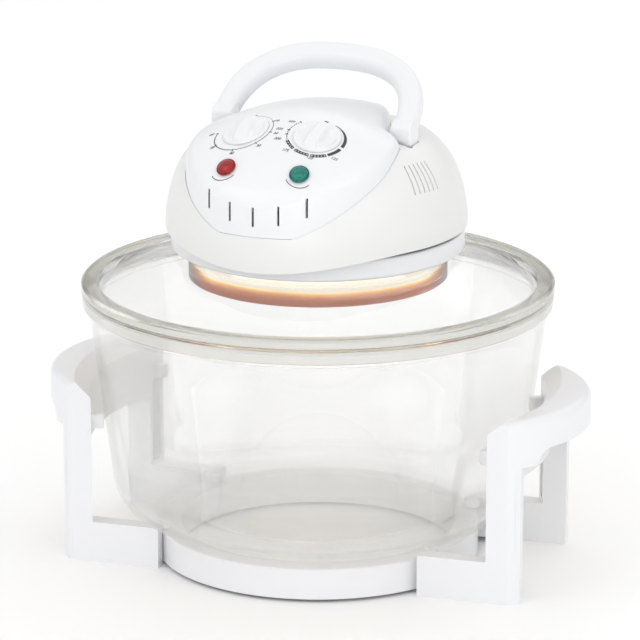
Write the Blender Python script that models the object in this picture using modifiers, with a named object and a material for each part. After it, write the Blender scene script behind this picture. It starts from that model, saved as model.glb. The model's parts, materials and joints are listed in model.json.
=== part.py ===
"""Halogen oven: a glass bowl on a plastic stand, with a lift-off lid that heats and blows.

Metres, +Z up, front towards -Y, origin on the table under the bowl's axis.
"""
import bpy
import bmesh
from math import asin, atan2, ceil, cos, degrees, hypot, pi, radians, sin, sqrt, tan
from mathutils import Matrix, Vector

# Shared clearances and cutting values
FIT_GAP = 0.0003            # between pieces that touch
OVERRUN = 0.004             # how far a cutter runs past what it cuts
MERGE = 0.00001
TURN_STEPS = 48
SMALL_STEPS = 20
SHARP = radians(35)

# Bowl
BOWL_BASE_Z = 0.0325
BOWL_BASE_R = 0.1165
BOWL_CORNER_R = 0.033
BOWL_SLOPE = 0.13           # outward run for each unit of height
BOWL_TOP_Z = 0.198
BOWL_RIM_H = 0.0095
BOWL_WALL = 0.0045

# Glass lid
RIM_OVERHANG = 0.003275     # the rim stands out past the bowl's wall
RIM_R = (BOWL_BASE_R + BOWL_CORNER_R + RIM_OVERHANG
         + BOWL_SLOPE * (BOWL_TOP_Z - BOWL_BASE_Z - BOWL_CORNER_R))
LID_EDGE_H = 0.0085
LID_EDGE_W = 0.0135
LID_GLASS = 0.004
LID_RISE = 0.023            # from the edge's top up to the seat of the head
LID_BULGE = 0.0022
LID_LIP_H = 0.0045
LID_LIP_W = 0.003
LID_LIP_PLAY = 0.004        # loose fit of the lip inside the bowl
SEAT_W = 0.0095

# Lid ring, gasket and metal collar
COLLAR_R = 0.0929
COLLAR_T = 0.0012
LID_HOLE_PLAY = 0.0024
LID_HOLE_R = COLLAR_R + COLLAR_T + LID_HOLE_PLAY
RING_SETBACK = 0.001        # from the seat's outer edge
RING_R = LID_HOLE_R + SEAT_W - RING_SETBACK
RING_H = 0.015
RING_WALL = 0.003
RING_FLOOR_R = 0.062
GASKET_T = 0.0008
COLLAR_BOTTOM_Z = 0.2086
COLLAR_LIP = 0.010

# Heating chamber under the head
REFLECTOR_DROP = 0.007      # below the ring's floor
PLATE_T = 0.001
SHAFT_HOLE_R = 0.0045
LAMP_R = 0.066
LAMP_TUBE_R = 0.005
LAMP_DROP = 0.0125          # lamp axis below the reflector
LAMP_GAP_ANGLE = radians(26)
LAMP_CAP_W = 0.013
LAMP_CAP_L = 0.016
LAMP_CLIP_W = 0.007
LAMP_CLIP_T = 0.0012
FAN_R = 0.041
FAN_HUB_R = 0.009
FAN_HUB_H = 0.006
FAN_BLADES = 6
FAN_BLADE_T = 0.0012
FAN_BLADE_H = 0.009
FAN_PITCH = radians(38)
FAN_DROP = 0.012            # middle of the lower fan below the reflector
PROBE_R = 0.002

# Guard grille
GRILLE_WIRE_R = 0.0011
GRILLE_RISE = 0.0016        # wire axis above the collar's lower edge
GRILLE_RINGS = 4
GRILLE_SPOKES = 4
GRILLE_STEPS = 26

# Motor and its frame
SHIELD_R = 0.079
SHIELD_RISE = 0.0045        # on stand-off beads above the ring's floor
SHAFT_R = 0.003
SHAFT_TOP_Z = 0.304
NUT_R = 0.006
NUT_H = 0.004
COOL_FAN_R = 0.037
COOL_FAN_RISE = 0.008
BRACKET_W = 0.018
BRACKET_SPAN = 0.088
BRACKET_T = 0.0016
BRACKET_H = 0.021
STATOR_L = 0.058
STATOR_W = 0.040
STATOR_H = 0.019
STATOR_BORE_R = 0.0145
COIL_L = 0.014
ROTOR_R = 0.0138
BUSH_R = 0.0055
BUSH_H = 0.004
BEARING_PLAY = 0.00025

# Head housing (dome)
HEAD_TURN = radians(-5)     # the lid stands turned on the bowl
DOME_SHAPE = (              # radius and height of the outer skin, from the base up
    (0.107, 0.252), (0.1065, 0.260), (0.1035, 0.276), (0.0985, 0.290),
    (0.092, 0.300), (0.0845, 0.308), (0.076, 0.3130))
DOME_CROWN_Z = 0.316
DOME_FRONT_STRETCH = 1.10
DOME_BASE_Z = 0.248
DOME_DIP = 0.010            # the skirt hangs lower at the front
DOME_DIP_HALF = radians(62)
DOME_WALL = 0.0026
DOME_SIDES = 40
BOSS_R = 0.0045
BOSS_PITCH_R = 0.086
BOSS_ANGLES = (radians(92), radians(180), radians(268))
SCREW_R = 0.0014
SCREW_HEAD_R = 0.003
SCREW_HEAD_H = 0.002
VENT_COUNT = 6
VENT_W = 0.0016
VENT_ANGLE = radians(64)
VENT_STEP = radians(2.9)
VENT_Z = 0.2945
VENT_L = 0.022
VENT_TILT = radians(34)

# Control panel
PANEL_NOSE_Y = -0.117
PANEL_MID_Y = -0.049
PANEL_HALF = 0.075
PANEL_SHOULDER = 0.0728     # half width just before the notch for the handle
PANEL_SHOULDER_Y = -0.0270
PANEL_NOTCH = 0.0580        # half width at the notch
PANEL_NOTCH_Y = -0.0165
PANEL_TAPER = 0.30          # the tail narrows by this for each unit of depth
PANEL_REAR_SHARES = (0.10, 0.173, 0.20, 0.228, 0.256, 0.38, 0.50, 0.62, 0.74, 0.84, 0.925, 0.98)
PANEL_TAIL_START_Y = 0.012
NOTCH_WALL = 1.15           # the notch's wall runs askew, so it is this much thicker across the head
PANEL_TAIL_Y = 0.078
PANEL_FOOT_Z = 0.2635
PANEL_WALL = 0.0026
PANEL_EDGE_R = 0.006
PANEL_SIDES = 40
CROWN_R = 0.1112            # the panel's front-to-back arc
CROWN_Y = -0.0256
CROWN_Z = 0.336
CROWN_FALL_R = 0.330        # gentler arc behind the crown
CROWN_CROSS_R = 0.150       # across the head
SLOT_XS = (0.0, 0.0181, 0.0365)
SLOT_TOPS = (0.2844, 0.2863, 0.2922)
SLOT_H = 0.0138
SLOT_W = 0.0017

# Dials and knobs
DIAL_X = 0.0270
DIAL_Y = -0.0665
KNOB_R = 0.0168
KNOB_BASE_H = 0.0040
KNOB_H = 0.0088
KNOB_BAR_W = 0.0088
KNOB_FLOOR_SHARE = 0.7      # the hollow beside the bar, as a share of the base's height
KNOB_FLOOR_R_SHARE = 0.75
KNOB_SEAT_DEPTH = 0.0012
KNOB_SHAFT_R = 0.003
KNOB_SHAFT_L = 0.017
CONTROL_R = 0.019
CONTROL_H = 0.022
CONTROL_SETBACK = 0.0055    # from the panel's outer skin to the control's face

# Indicator lenses
LENS_X = 0.0273
LENS_Y = -0.099
LENS_R = 0.0066
LENS_HIGH = 0.0034
LENS_SHANK_R = 0.0052
LENS_SHANK_L = 0.007
LAMP_BULB_R = 0.0028
LAMP_BULB_L = 0.011

# Carry handle
PIVOT_Y = -0.0075
PIVOT_Z = 0.3165
HANDLE_HALF = 0.0686        # centre line of the bail at its widest
HANDLE_RISE = 0.0632        # centre line above the pivots
HANDLE_POWER = 2.48
HANDLE_BAR_W = 0.0181
HANDLE_BAR_D = 0.0181
HANDLE_BAR_ROUNDNESS = 0.80 # 1 is a round bar, less is squarer
HANDLE_TIP_SHARE = 0.88     # the legs narrow towards the pivots
HANDLE_LEAN = radians(53.2)
HANDLE_STEPS = 28
HANDLE_BAR_SIDES = 14
HANDLE_OFFSET = 0.005       # the legs' feet sit this far above the pivots
KNUCKLE_PLAY = 0.0008       # round the handle's ends where they dip into the housing
KNUCKLE_IN_X = PANEL_NOTCH + 0.001
PIN_R = 0.003
PIN_HEAD_R = 0.0036
PIN_HEAD_T = 0.002
SWITCH_L = 0.018
SWITCH_W = 0.008
SWITCH_H = 0.010
INLET_R = 0.006
INLET_BORE_R = 0.0035
INLET_L = 0.009
INLET_FLANGE_R = 0.009
INLET_FLANGE_T = 0.0025
INLET_Z = 0.266

# Stand: base ring
BASE_RING_R = 0.117
BASE_RING_W = 0.017
BASE_RING_TOP_Z = 0.025
BASE_RING_LIFT = 0.0025
BASE_RING_WALL = 0.003
EAR_FROM_X = BASE_RING_R - 0.024
EAR_TO_X = BASE_RING_R + 0.007
EAR_DEPTH = 0.013
EAR_TOP_DROP = 0.0015
PAD_X = 0.1005
PAD_Y = 0.0560
PAD_R = 0.0065
PAD_TIP_R = 0.005
STAND_SCREW_X = 0.1165
STAND_SCREW_Z = 0.013

# Stand: handle frames
FRAME_END_Y = 0.076
POST_DEPTH = 0.013
POST_INSET = 0.0045         # the frame's inner faces follow a circle under the rim
POST_IN_R = RIM_R - POST_INSET
POST_STEP = 0.005
POST_OUT_X = POST_IN_R + POST_STEP
ARM_FROM_X = 0.097
ARM_H = 0.030
GRIP_REACH = 0.0345         # from the bowl's circle to the outside of the grip
GRIP_R = 0.099
GRIP_CENTRE_X = POST_IN_R + GRIP_REACH - GRIP_R
GRIP_TOP_Z = 0.134
GRIP_LIP_Z = 0.111          # lower edge of the outer skirt
GRIP_LIP_END_Z = 0.100
GRIP_INNER_Z = 0.084        # lower edge of the inner wall
GRIP_WALL = 0.0035
GRIP_CORNER_R = 0.008
GRIP_FUNNEL_RUN = 0.0105    # top of the slope that leads the bowl in
GRIP_FUNNEL_R = POST_IN_R + GRIP_FUNNEL_RUN
GRIP_EDGE_R = 0.005
WINDOW_CORNER_R = 0.007
CHANNEL_WALL = 0.0028
LUG_Z = 0.0995
LUG_H = 0.0105
LUG_W = 0.007


def clear_scene():
    for obj in list(bpy.data.objects):
        bpy.data.objects.remove(obj, do_unlink=True)


def new_collection(name):
    collection = bpy.data.collections.new(name)
    bpy.context.scene.collection.children.link(collection)
    return collection


clear_scene()
PARTS = new_collection("halogen_oven")
CUTTERS = new_collection("cutters")


def finish(name, colour, roughness, metallic=0.0, alpha=1.0):
    material = bpy.data.materials.new(name)
    material.use_nodes = True
    shader = material.node_tree.nodes["Principled BSDF"]
    shader.inputs["Base Color"].default_value = (*colour, 1.0)
    shader.inputs["Roughness"].default_value = roughness
    shader.inputs["Metallic"].default_value = metallic
    shader.inputs["Alpha"].default_value = alpha
    return material


WHITE = finish("white_plastic", (0.90, 0.90, 0.92), 0.35)
SHELL_WHITE = finish("housing_plastic", (0.84, 0.84, 0.84), 0.38)
GLASS = finish("clear_glass", (0.85, 0.90, 0.88), 0.03, alpha=0.3)
CHROME = finish("chromed_wire", (0.80, 0.80, 0.82), 0.15, 1.0)
STEEL = finish("polished_steel", (0.72, 0.70, 0.68), 0.25, 1.0)
ALUMINIUM = finish("aluminium", (0.75, 0.76, 0.77), 0.40, 1.0)
IRON = finish("motor_iron", (0.25, 0.25, 0.27), 0.55, 1.0)
COPPER = finish("coil_wire", (0.60, 0.28, 0.12), 0.45, 1.0)
BRASS = finish("bronze_bush", (0.62, 0.47, 0.22), 0.40, 1.0)
QUARTZ = finish("quartz_tube", (0.95, 0.80, 0.60), 0.05)
CERAMIC = finish("lamp_ceramic", (0.82, 0.78, 0.70), 0.60)
SILICONE = finish("silicone", (0.55, 0.55, 0.55), 0.70)
NYLON = finish("black_nylon", (0.05, 0.05, 0.05), 0.50)
RED = finish("red_lens", (0.55, 0.03, 0.03), 0.10)
GREEN = finish("green_lens", (0.02, 0.38, 0.28), 0.10)


def empty(name, place=(0, 0, 0), turn=(0, 0, 0), parent=None):
    """A frame that pieces hang from."""
    obj = bpy.data.objects.new(name, None)
    PARTS.objects.link(obj)
    obj.location = place
    obj.rotation_euler = turn
    obj.parent = parent
    return obj


def put(name, mesh, material, place=(0, 0, 0), turn=(0, 0, 0), parent=None, cutter=False):
    """Make an object of a mesh, as a part or as a cutter."""
    obj = bpy.data.objects.new(name, mesh)
    if cutter:
        CUTTERS.objects.link(obj)
        obj.hide_render = True
        obj.display_type = 'WIRE'
    else:
        mesh.materials.append(material)
        PARTS.objects.link(obj)
    obj.location = place
    obj.rotation_euler = turn
    obj.parent = parent
    return obj


def mesh_from(bm, name):
    bmesh.ops.recalc_face_normals(bm, faces=bm.faces)
    mesh = bpy.data.meshes.new(name)
    bm.to_mesh(mesh)
    bm.free()
    mesh.shade_smooth()
    mesh.set_sharp_from_angle(angle=SHARP)
    return mesh


def boolean(target, tool, operation='DIFFERENCE'):
    modifier = target.modifiers.new(tool.name, 'BOOLEAN')
    modifier.operation = operation
    modifier.object = tool
    return target


def turned(name, profile, material, steps=TURN_STEPS, **where):
    """Screw a profile of (radius, height) points round Z."""
    area = sum(a[0] * b[1] - b[0] * a[1] for a, b in zip(profile, profile[1:] + profile[:1]))
    points = list(reversed(profile)) if area > 0 else list(profile)
    closed = not (points[0][0] == 0 and points[-1][0] == 0)
    mesh = bpy.data.meshes.new(name)
    edges = [(i, i + 1) for i in range(len(points) - 1)]
    if closed:
        edges.append((len(points) - 1, 0))
    mesh.from_pydata([(r, 0, z) for r, z in points], edges, [])
    obj = put(name, mesh, material, **where)
    screw = obj.modifiers.new("turn", 'SCREW')
    screw.steps = steps
    screw.render_steps = steps
    screw.use_merge_vertices = True
    screw.merge_threshold = MERGE
    return obj


def block(name, size, centre, material, rounding=0, **where):
    """A box of a size about a centre."""
    bm = bmesh.new()
    bmesh.ops.create_cube(bm, size=1, matrix=Matrix.Translation(centre) @ Matrix.Diagonal((*size, 1)))
    if rounding:
        bmesh.ops.bevel(bm, geom=bm.edges[:], offset=rounding, segments=2, profile=0.5,
                        affect='EDGES', material=-1)
    return put(name, mesh_from(bm, name), material, **where)


def rod(name, radius, low, high, material, steps=SMALL_STEPS, axis='Z', **where):
    """A cylinder along an axis between two places on it."""
    aim = {'Z': Matrix.Identity(4), 'X': Matrix.Rotation(pi / 2, 4, 'Y'),
           'Y': Matrix.Rotation(-pi / 2, 4, 'X')}[axis]
    bm = bmesh.new()
    bmesh.ops.create_cone(bm, cap_ends=True, segments=steps, radius1=radius, radius2=radius,
                          depth=high - low,
                          matrix=aim @ Matrix.Translation((0, 0, (low + high) / 2)))
    return put(name, mesh_from(bm, name), material, **where)


def plate(name, outline, low, high, material, **where):
    """A flat outline as a 2D curve, extruded between two heights and welded."""
    curve = bpy.data.curves.new(name, 'CURVE')
    curve.dimensions = '2D'
    curve.fill_mode = 'BOTH'
    curve.extrude = (high - low) / 2
    spline = curve.splines.new('POLY')
    spline.points.add(len(outline) - 1)
    for point, (x, y) in zip(spline.points, outline):
        point.co = (x, y, 0, 1)
    spline.use_cyclic_u = True
    mesh = curve_mesh(name, curve)
    mesh.transform(Matrix.Translation((0, 0, (low + high) / 2)))
    return put(name, mesh, material, **where)


def curve_mesh(name, curve):
    """A curve as a closed mesh, with its caps welded."""
    holder = bpy.data.objects.new(name, curve)
    bpy.context.scene.collection.objects.link(holder)
    bpy.context.view_layer.update()
    mesh = bpy.data.meshes.new_from_object(holder.evaluated_get(bpy.context.evaluated_depsgraph_get()))
    bpy.data.objects.remove(holder, do_unlink=True)
    bm = bmesh.new()
    bm.from_mesh(mesh)
    bmesh.ops.remove_doubles(bm, verts=bm.verts, dist=MERGE)
    return mesh_from(bm, name)


def wire(name, points, radius, material, cyclic=False, resolution=1, **where):
    """A round wire along points."""
    curve = bpy.data.curves.new(name, 'CURVE')
    curve.dimensions = '3D'
    curve.bevel_depth = radius
    curve.bevel_resolution = resolution
    curve.use_fill_caps = not cyclic
    spline = curve.splines.new('POLY')
    spline.points.add(len(points) - 1)
    for point, place in zip(spline.points, points):
        point.co = (*place, 1)
    spline.use_cyclic_u = cyclic
    return put(name, curve_mesh(name, curve), material, **where)


def lofted(name, rings, crown, wall, material, **where):
    """A skin through rings of points, closed at a crown point, thickened inwards."""
    bm = bmesh.new()
    loops = [[bm.verts.new(p) for p in ring] for ring in rings]
    count = len(loops[0])
    for low, high in zip(loops, loops[1:]):
        for i in range(count):
            j = (i + 1) % count
            bm.faces.new((low[i], low[j], high[j], high[i]))
    top = bm.verts.new(crown)
    for i in range(count):
        bm.faces.new((loops[-1][i], loops[-1][(i + 1) % count], top))
    bm.normal_update()
    bm.faces.ensure_lookup_table()
    if bm.faces[-1].normal.z < 0:
        bmesh.ops.reverse_faces(bm, faces=bm.faces)
    mesh = bpy.data.meshes.new(name)
    bm.to_mesh(mesh)
    bm.free()
    mesh.shade_smooth()
    obj = put(name, mesh, material, **where)
    skin = obj.modifiers.new("wall", 'SOLIDIFY')
    skin.thickness = wall
    skin.offset = -1
    skin.use_even_offset = True
    return obj


def arc(centre, radius, start, end, steps):
    """Points on an arc between two angles."""
    return [(centre[0] + radius * cos(start + (end - start) * i / steps),
             centre[1] + radius * sin(start + (end - start) * i / steps)) for i in range(steps + 1)]


def around(radius, angle, z=0):
    """A place round the head, its angle counted from the front towards +X."""
    return (radius * sin(angle), -radius * cos(angle), z)


# Places worked out from the sizes above
BOWL_CORNER_Z = BOWL_BASE_Z + BOWL_CORNER_R
LID_EDGE_Z = BOWL_TOP_Z + FIT_GAP
LID_EDGE_TOP_Z = LID_EDGE_Z + LID_EDGE_H
SEAT_Z = LID_EDGE_TOP_Z + LID_RISE
RING_Z = SEAT_Z + FIT_GAP
RING_TOP_Z = RING_Z + RING_H
RING_FLOOR_Z = RING_TOP_Z - RING_WALL
COLLAR_TOP_Z = RING_FLOOR_Z - FIT_GAP
REFLECTOR_Z = RING_FLOOR_Z - REFLECTOR_DROP
LAMP_Z = REFLECTOR_Z - LAMP_DROP
FAN_Z = REFLECTOR_Z - FAN_DROP
SHIELD_Z = RING_TOP_Z + SHIELD_RISE
BRACKET_TOP_Z = SHIELD_Z + PLATE_T + FIT_GAP + BRACKET_H
STATOR_Z = BRACKET_TOP_Z + FIT_GAP
STATOR_TOP_Z = STATOR_Z + STATOR_H
COOL_FAN_Z = SHIELD_Z + COOL_FAN_RISE
GRILLE_Z = COLLAR_BOTTOM_Z + GRILLE_RISE


def bowl_radius(z):
    """The bowl's outer radius at a height above its rounded corner."""
    return BOWL_BASE_R + BOWL_CORNER_R + BOWL_SLOPE * (z - BOWL_CORNER_Z)


def dome_height(radius):
    """Height of the dome's outer skin at a radius."""
    shape = list(reversed(DOME_SHAPE))
    if radius <= shape[0][0]:
        return shape[0][1]
    for (r0, z0), (r1, z1) in zip(shape, shape[1:]):
        if radius <= r1:
            return z0 + (z1 - z0) * (radius - r0) / (r1 - r0)
    return shape[-1][1]


def crown_height(x, y):
    """Height of the panel's top skin."""
    if y < CROWN_Y:
        along = CROWN_Z - CROWN_R + sqrt(max(CROWN_R ** 2 - (y - CROWN_Y) ** 2, 0))
    else:
        along = CROWN_Z - CROWN_FALL_R + sqrt(CROWN_FALL_R ** 2 - (y - CROWN_Y) ** 2)
    return along - x * x / (2 * CROWN_CROSS_R)


def crown_tilt(x, y):
    """Turn that sets a piece's Z square to the panel's front half."""
    slope_y = -(y - CROWN_Y) / sqrt(CROWN_R ** 2 - (y - CROWN_Y) ** 2)
    slope_x = -x / CROWN_CROSS_R
    normal = Vector((-slope_x, -slope_y, 1)).normalized()
    across = Vector((1, 0, slope_x)).normalized()
    return Matrix((across, normal.cross(across), normal)).transposed().to_euler()


# Stand

def build_base_ring():
    inner = BASE_RING_R - BASE_RING_W
    low, high = BASE_RING_LIFT, BASE_RING_TOP_Z
    roof = high - BASE_RING_WALL
    ring = turned("base_ring", [
        (BASE_RING_R, low), (BASE_RING_R, high), (inner, high), (inner, low),
        (inner + BASE_RING_WALL, low), (inner + BASE_RING_WALL, roof),
        (BASE_RING_R - BASE_RING_WALL, roof), (BASE_RING_R - BASE_RING_WALL, low)], WHITE)
    ear_far = FRAME_END_Y - POST_DEPTH - FIT_GAP
    for side in (-1, 1):
        for end in (-1, 1):
            size = (EAR_TO_X - EAR_FROM_X, EAR_DEPTH, high - EAR_TOP_DROP - low - EAR_TOP_DROP)
            centre = (side * (EAR_FROM_X + EAR_TO_X) / 2, end * (ear_far - EAR_DEPTH / 2),
                      (low + high) / 2)
            ear = block("ear", size, centre, WHITE, cutter=True)
            boolean(ring, ear, 'UNION')
            hole = rod("ear_screw_hole", SCREW_R + FIT_GAP, ear_far - EAR_DEPTH - OVERRUN, ear_far + OVERRUN,
                       WHITE, SMALL_STEPS // 2, 'Y', place=(side * STAND_SCREW_X, 0, STAND_SCREW_Z),
                       cutter=True)
            if end < 0:
                hole.data.transform(Matrix.Rotation(pi, 4, 'Z'))
            boolean(ring, hole)
    return ring


def frame_outline(side):
    """Plan of a side frame before it is opened: arms' ends, round corners and bulged grip."""
    centre_y = FRAME_END_Y - GRIP_CORNER_R
    reach = GRIP_R - GRIP_CORNER_R
    corner = (GRIP_CENTRE_X + sqrt(reach ** 2 - centre_y ** 2), centre_y)
    meet = atan2(corner[1], corner[0] - GRIP_CENTRE_X)
    points = [(ARM_FROM_X, -FRAME_END_Y)]
    points += arc((corner[0], -centre_y), GRIP_CORNER_R, -pi / 2, -meet, 4)
    points += arc((GRIP_CENTRE_X, 0), GRIP_R, -meet, meet, 14)[1:-1]
    points += arc(corner, GRIP_CORNER_R, meet, pi / 2, 4)
    points.append((ARM_FROM_X, FRAME_END_Y))
    return [(side * x, y) for x, y in points]


def grip_hollow_outline(side):
    """Plan of the hollow under the grip, one wall inside its skin."""
    inner_r = POST_IN_R + GRIP_WALL
    outer_r = GRIP_R - GRIP_WALL
    half = FRAME_END_Y - POST_DEPTH
    inner = asin(half / inner_r)
    outer = asin(half / outer_r)
    points = arc((0, 0), inner_r, inner, -inner, 10)
    points += arc((GRIP_CENTRE_X, 0), outer_r, -outer, outer, 12)
    return [(side * x, y) for x, y in points]


def arch_outline(half, top, foot, radius, low):
    """A doorway shape: flat top, round upper corners, legs down to a level."""
    right = arc((half - radius, top - radius), radius, 0, pi / 2, 4)
    left = [(-x, z) for x, z in reversed(right)]
    return [(foot, low), (foot, GRIP_LIP_END_Z) if foot > half else (half, low)] + right + left + [
        (-foot, GRIP_LIP_END_Z) if foot > half else (-half, low), (-foot, low)]


def standing_plate(name, outline, low, high, parent=None):
    """A cutter whose outline stands in the Y-Z plane, between two X places."""
    tool = plate(name, outline, low, high, WHITE, cutter=True, parent=parent)
    turn = Matrix(((0, 0, 1, 0), (1, 0, 0, 0), (0, 1, 0, 0), (0, 0, 0, 1)))
    tool.data.transform(turn)
    return tool


def build_handle_frame(name, side):
    tall = plate(name, frame_outline(side), 0, GRIP_TOP_Z, WHITE)
    bm = bmesh.new()
    bm.from_mesh(tall.data)
    rim = [e for e in bm.edges if all(v.co.z > GRIP_TOP_Z - MERGE for v in e.verts)
           and len(e.link_faces) == 2 and e.calc_face_angle(0) > SHARP
           and max(abs(v.co.x) for v in e.verts) > ARM_FROM_X + MERGE]
    bmesh.ops.bevel(bm, geom=rim, offset=GRIP_EDGE_R, segments=2, profile=0.5, affect='EDGES',
                    material=-1)
    material = tall.data.materials[0]
    tall.data = mesh_from(bm, name)
    tall.data.materials.append(material)

    far = GRIP_CENTRE_X + GRIP_R + OVERRUN
    inside = FRAME_END_Y - POST_DEPTH

    def across(tool_name, outline, near):
        ends = sorted((side * near, side * far))
        return standing_plate(tool_name, outline, ends[0], ends[1])

    bowl_room = rod(name + "_bowl_room", POST_IN_R, ARM_H, GRIP_TOP_Z + OVERRUN, WHITE, TURN_STEPS * 3 // 2,
                    cutter=True)
    boolean(tall, bowl_room)
    window = across(name + "_window", arch_outline(inside, GRIP_INNER_Z, inside, WINDOW_CORNER_R,
                                                   -OVERRUN), ARM_FROM_X - OVERRUN)
    boolean(tall, window)
    relief = across(name + "_relief", arch_outline(inside - GRIP_WALL, GRIP_LIP_Z, FRAME_END_Y + OVERRUN,
                                                   GRIP_LIP_Z - GRIP_LIP_END_Z, -OVERRUN), POST_OUT_X)
    boolean(tall, relief)

    hollow = plate(name + "_hollow", grip_hollow_outline(side), GRIP_INNER_Z - OVERRUN,
                   GRIP_TOP_Z - GRIP_WALL, WHITE, cutter=True)
    slope = (GRIP_FUNNEL_R - POST_IN_R)
    wide = GRIP_FUNNEL_R + OVERRUN
    narrow = POST_IN_R - OVERRUN
    funnel_foot = GRIP_TOP_Z - slope
    funnel = turned(name + "_funnel", [
        (0, funnel_foot - OVERRUN), (narrow, funnel_foot - OVERRUN), (wide, GRIP_TOP_Z + OVERRUN),
        (0, GRIP_TOP_Z + OVERRUN)], WHITE, cutter=True)
    skin = GRIP_WALL * sqrt(2)
    roof = turned(name + "_funnel_back", [
        (0, funnel_foot - OVERRUN - skin), (narrow, funnel_foot - OVERRUN - skin),
        (wide + skin, GRIP_TOP_Z + OVERRUN), (0, GRIP_TOP_Z + OVERRUN)], WHITE, cutter=True)
    boolean(hollow, roof)
    boolean(tall, hollow)
    boolean(tall, funnel)

    reach = POST_IN_R - bowl_radius(LUG_Z + LUG_H) - FIT_GAP
    angle = asin((FRAME_END_Y - POST_DEPTH / 2) / POST_IN_R)
    for end in (-1, 1):
        middle = (POST_IN_R - reach / 2 + CHANNEL_WALL, 0, LUG_Z + LUG_H / 2)
        lug = block(name + "_lug", (reach + CHANNEL_WALL * 2, LUG_W, LUG_H), middle, WHITE, cutter=True)
        lug.rotation_euler = (0, 0, angle * end if side > 0 else pi - angle * end)
        boolean(tall, lug, 'UNION')
        channel_w = POST_DEPTH - CHANNEL_WALL * 2
        deep = POST_OUT_X - CHANNEL_WALL
        shallow = POST_IN_R * cos(angle) - POST_DEPTH
        size = (deep - shallow, channel_w, LUG_Z - CHANNEL_WALL - ARM_H - CHANNEL_WALL)
        centre = (side * (deep + shallow) / 2, end * (FRAME_END_Y - POST_DEPTH / 2),
                  (LUG_Z + ARM_H) / 2)
        boolean(tall, block(name + "_post_channel", size, centre, WHITE, cutter=True))
        size = (POST_OUT_X - POST_DEPTH - ARM_FROM_X - CHANNEL_WALL, channel_w, ARM_H - CHANNEL_WALL + OVERRUN)
        centre = (side * (POST_OUT_X - POST_DEPTH + ARM_FROM_X + CHANNEL_WALL) / 2,
                  end * (FRAME_END_Y - POST_DEPTH / 2), (ARM_H - CHANNEL_WALL - OVERRUN) / 2)
        boolean(tall, block(name + "_arm_channel", size, centre, WHITE, cutter=True))
        hole = rod(name + "_screw_hole", SCREW_R + FIT_GAP, -OVERRUN, CHANNEL_WALL + OVERRUN, WHITE,
                   SMALL_STEPS // 2, 'Y', place=(side * STAND_SCREW_X, end * inside, STAND_SCREW_Z),
                   cutter=True)
        if end < 0:
            hole.data.transform(Matrix.Rotation(pi, 4, 'Z'))
        boolean(tall, hole)
    ring_room = rod(name + "_ring_room", BASE_RING_R + FIT_GAP, -OVERRUN, ARM_H - CHANNEL_WALL, WHITE,
                    TURN_STEPS * 3 // 2, cutter=True)
    boolean(tall, ring_room)
    return tall


def build_stand_fittings():
    """Pads under the bowl and the screws that hold the ring to the frames."""
    ends = {"front": -1, "rear": 1}
    sides = {"left": -1, "right": 1}
    ear_top = BASE_RING_TOP_Z + FIT_GAP
    inside = FRAME_END_Y - POST_DEPTH
    for end_name, end in ends.items():
        for side_name, side in sides.items():
            tip_z = BOWL_BASE_Z - FIT_GAP
            turned(f"bowl_pad_{end_name}_{side_name}", [
                (0, ear_top), (PAD_R, ear_top), (PAD_R, (ear_top + tip_z) / 2),
                (PAD_TIP_R, (ear_top + tip_z) / 2 + (PAD_R - PAD_TIP_R)), (PAD_TIP_R, tip_z), (0, tip_z)],
                SILICONE, SMALL_STEPS // 2 + 2, place=(side * PAD_X, end * PAD_Y, 0))
            start = inside - FIT_GAP - EAR_DEPTH - FIT_GAP
            screw = turned(f"stand_screw_{end_name}_{side_name}", [
                (0, -SCREW_HEAD_H), (SCREW_HEAD_R, -SCREW_HEAD_H), (SCREW_HEAD_R, 0), (SCREW_R, 0),
                (SCREW_R, EAR_DEPTH + CHANNEL_WALL + SCREW_HEAD_H), (0, EAR_DEPTH + CHANNEL_WALL + SCREW_HEAD_H)],
                STEEL, SMALL_STEPS // 2, place=(side * STAND_SCREW_X, end * start, STAND_SCREW_Z))
            screw.rotation_euler = (-pi / 2 * end, 0, 0)


# Bowl

def build_bowl():
    corner_steps = 4
    wall = BOWL_WALL
    outer = [(0, BOWL_BASE_Z)]
    outer += [(BOWL_BASE_R + BOWL_CORNER_R * sin(t), BOWL_CORNER_Z - BOWL_CORNER_R * cos(t))
              for t in (pi / 2 * i / corner_steps for i in range(corner_steps + 1))]
    rim_z = BOWL_TOP_Z - BOWL_RIM_H
    outer += [(bowl_radius(rim_z), rim_z), (RIM_R - wall / 4, rim_z + wall / 4),
              (RIM_R - wall / 8, BOWL_TOP_Z - wall / 4), (RIM_R - wall / 3, BOWL_TOP_Z)]
    inner = [(bowl_radius(BOWL_TOP_Z) - wall, BOWL_TOP_Z)]
    inner_corner = BOWL_CORNER_R - wall
    inner += [(BOWL_BASE_R + inner_corner * sin(t), BOWL_CORNER_Z - inner_corner * cos(t))
              for t in (pi / 2 * (1 - i / corner_steps) for i in range(corner_steps + 1))]
    inner.append((0, BOWL_BASE_Z + wall))
    return turned("glass_bowl", outer + inner, GLASS)


# Lid

def lid_skin(share):
    """Radius and top height of the glass from its edge (0) to the head's seat (1)."""
    edge_r = RIM_R - LID_EDGE_W
    seat_r = LID_HOLE_R + SEAT_W
    low = LID_EDGE_TOP_Z - LID_LIP_W / 2
    return (edge_r + (seat_r - edge_r) * share,
            low + (SEAT_Z - low) * share + LID_BULGE * sin(pi * share))


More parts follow.
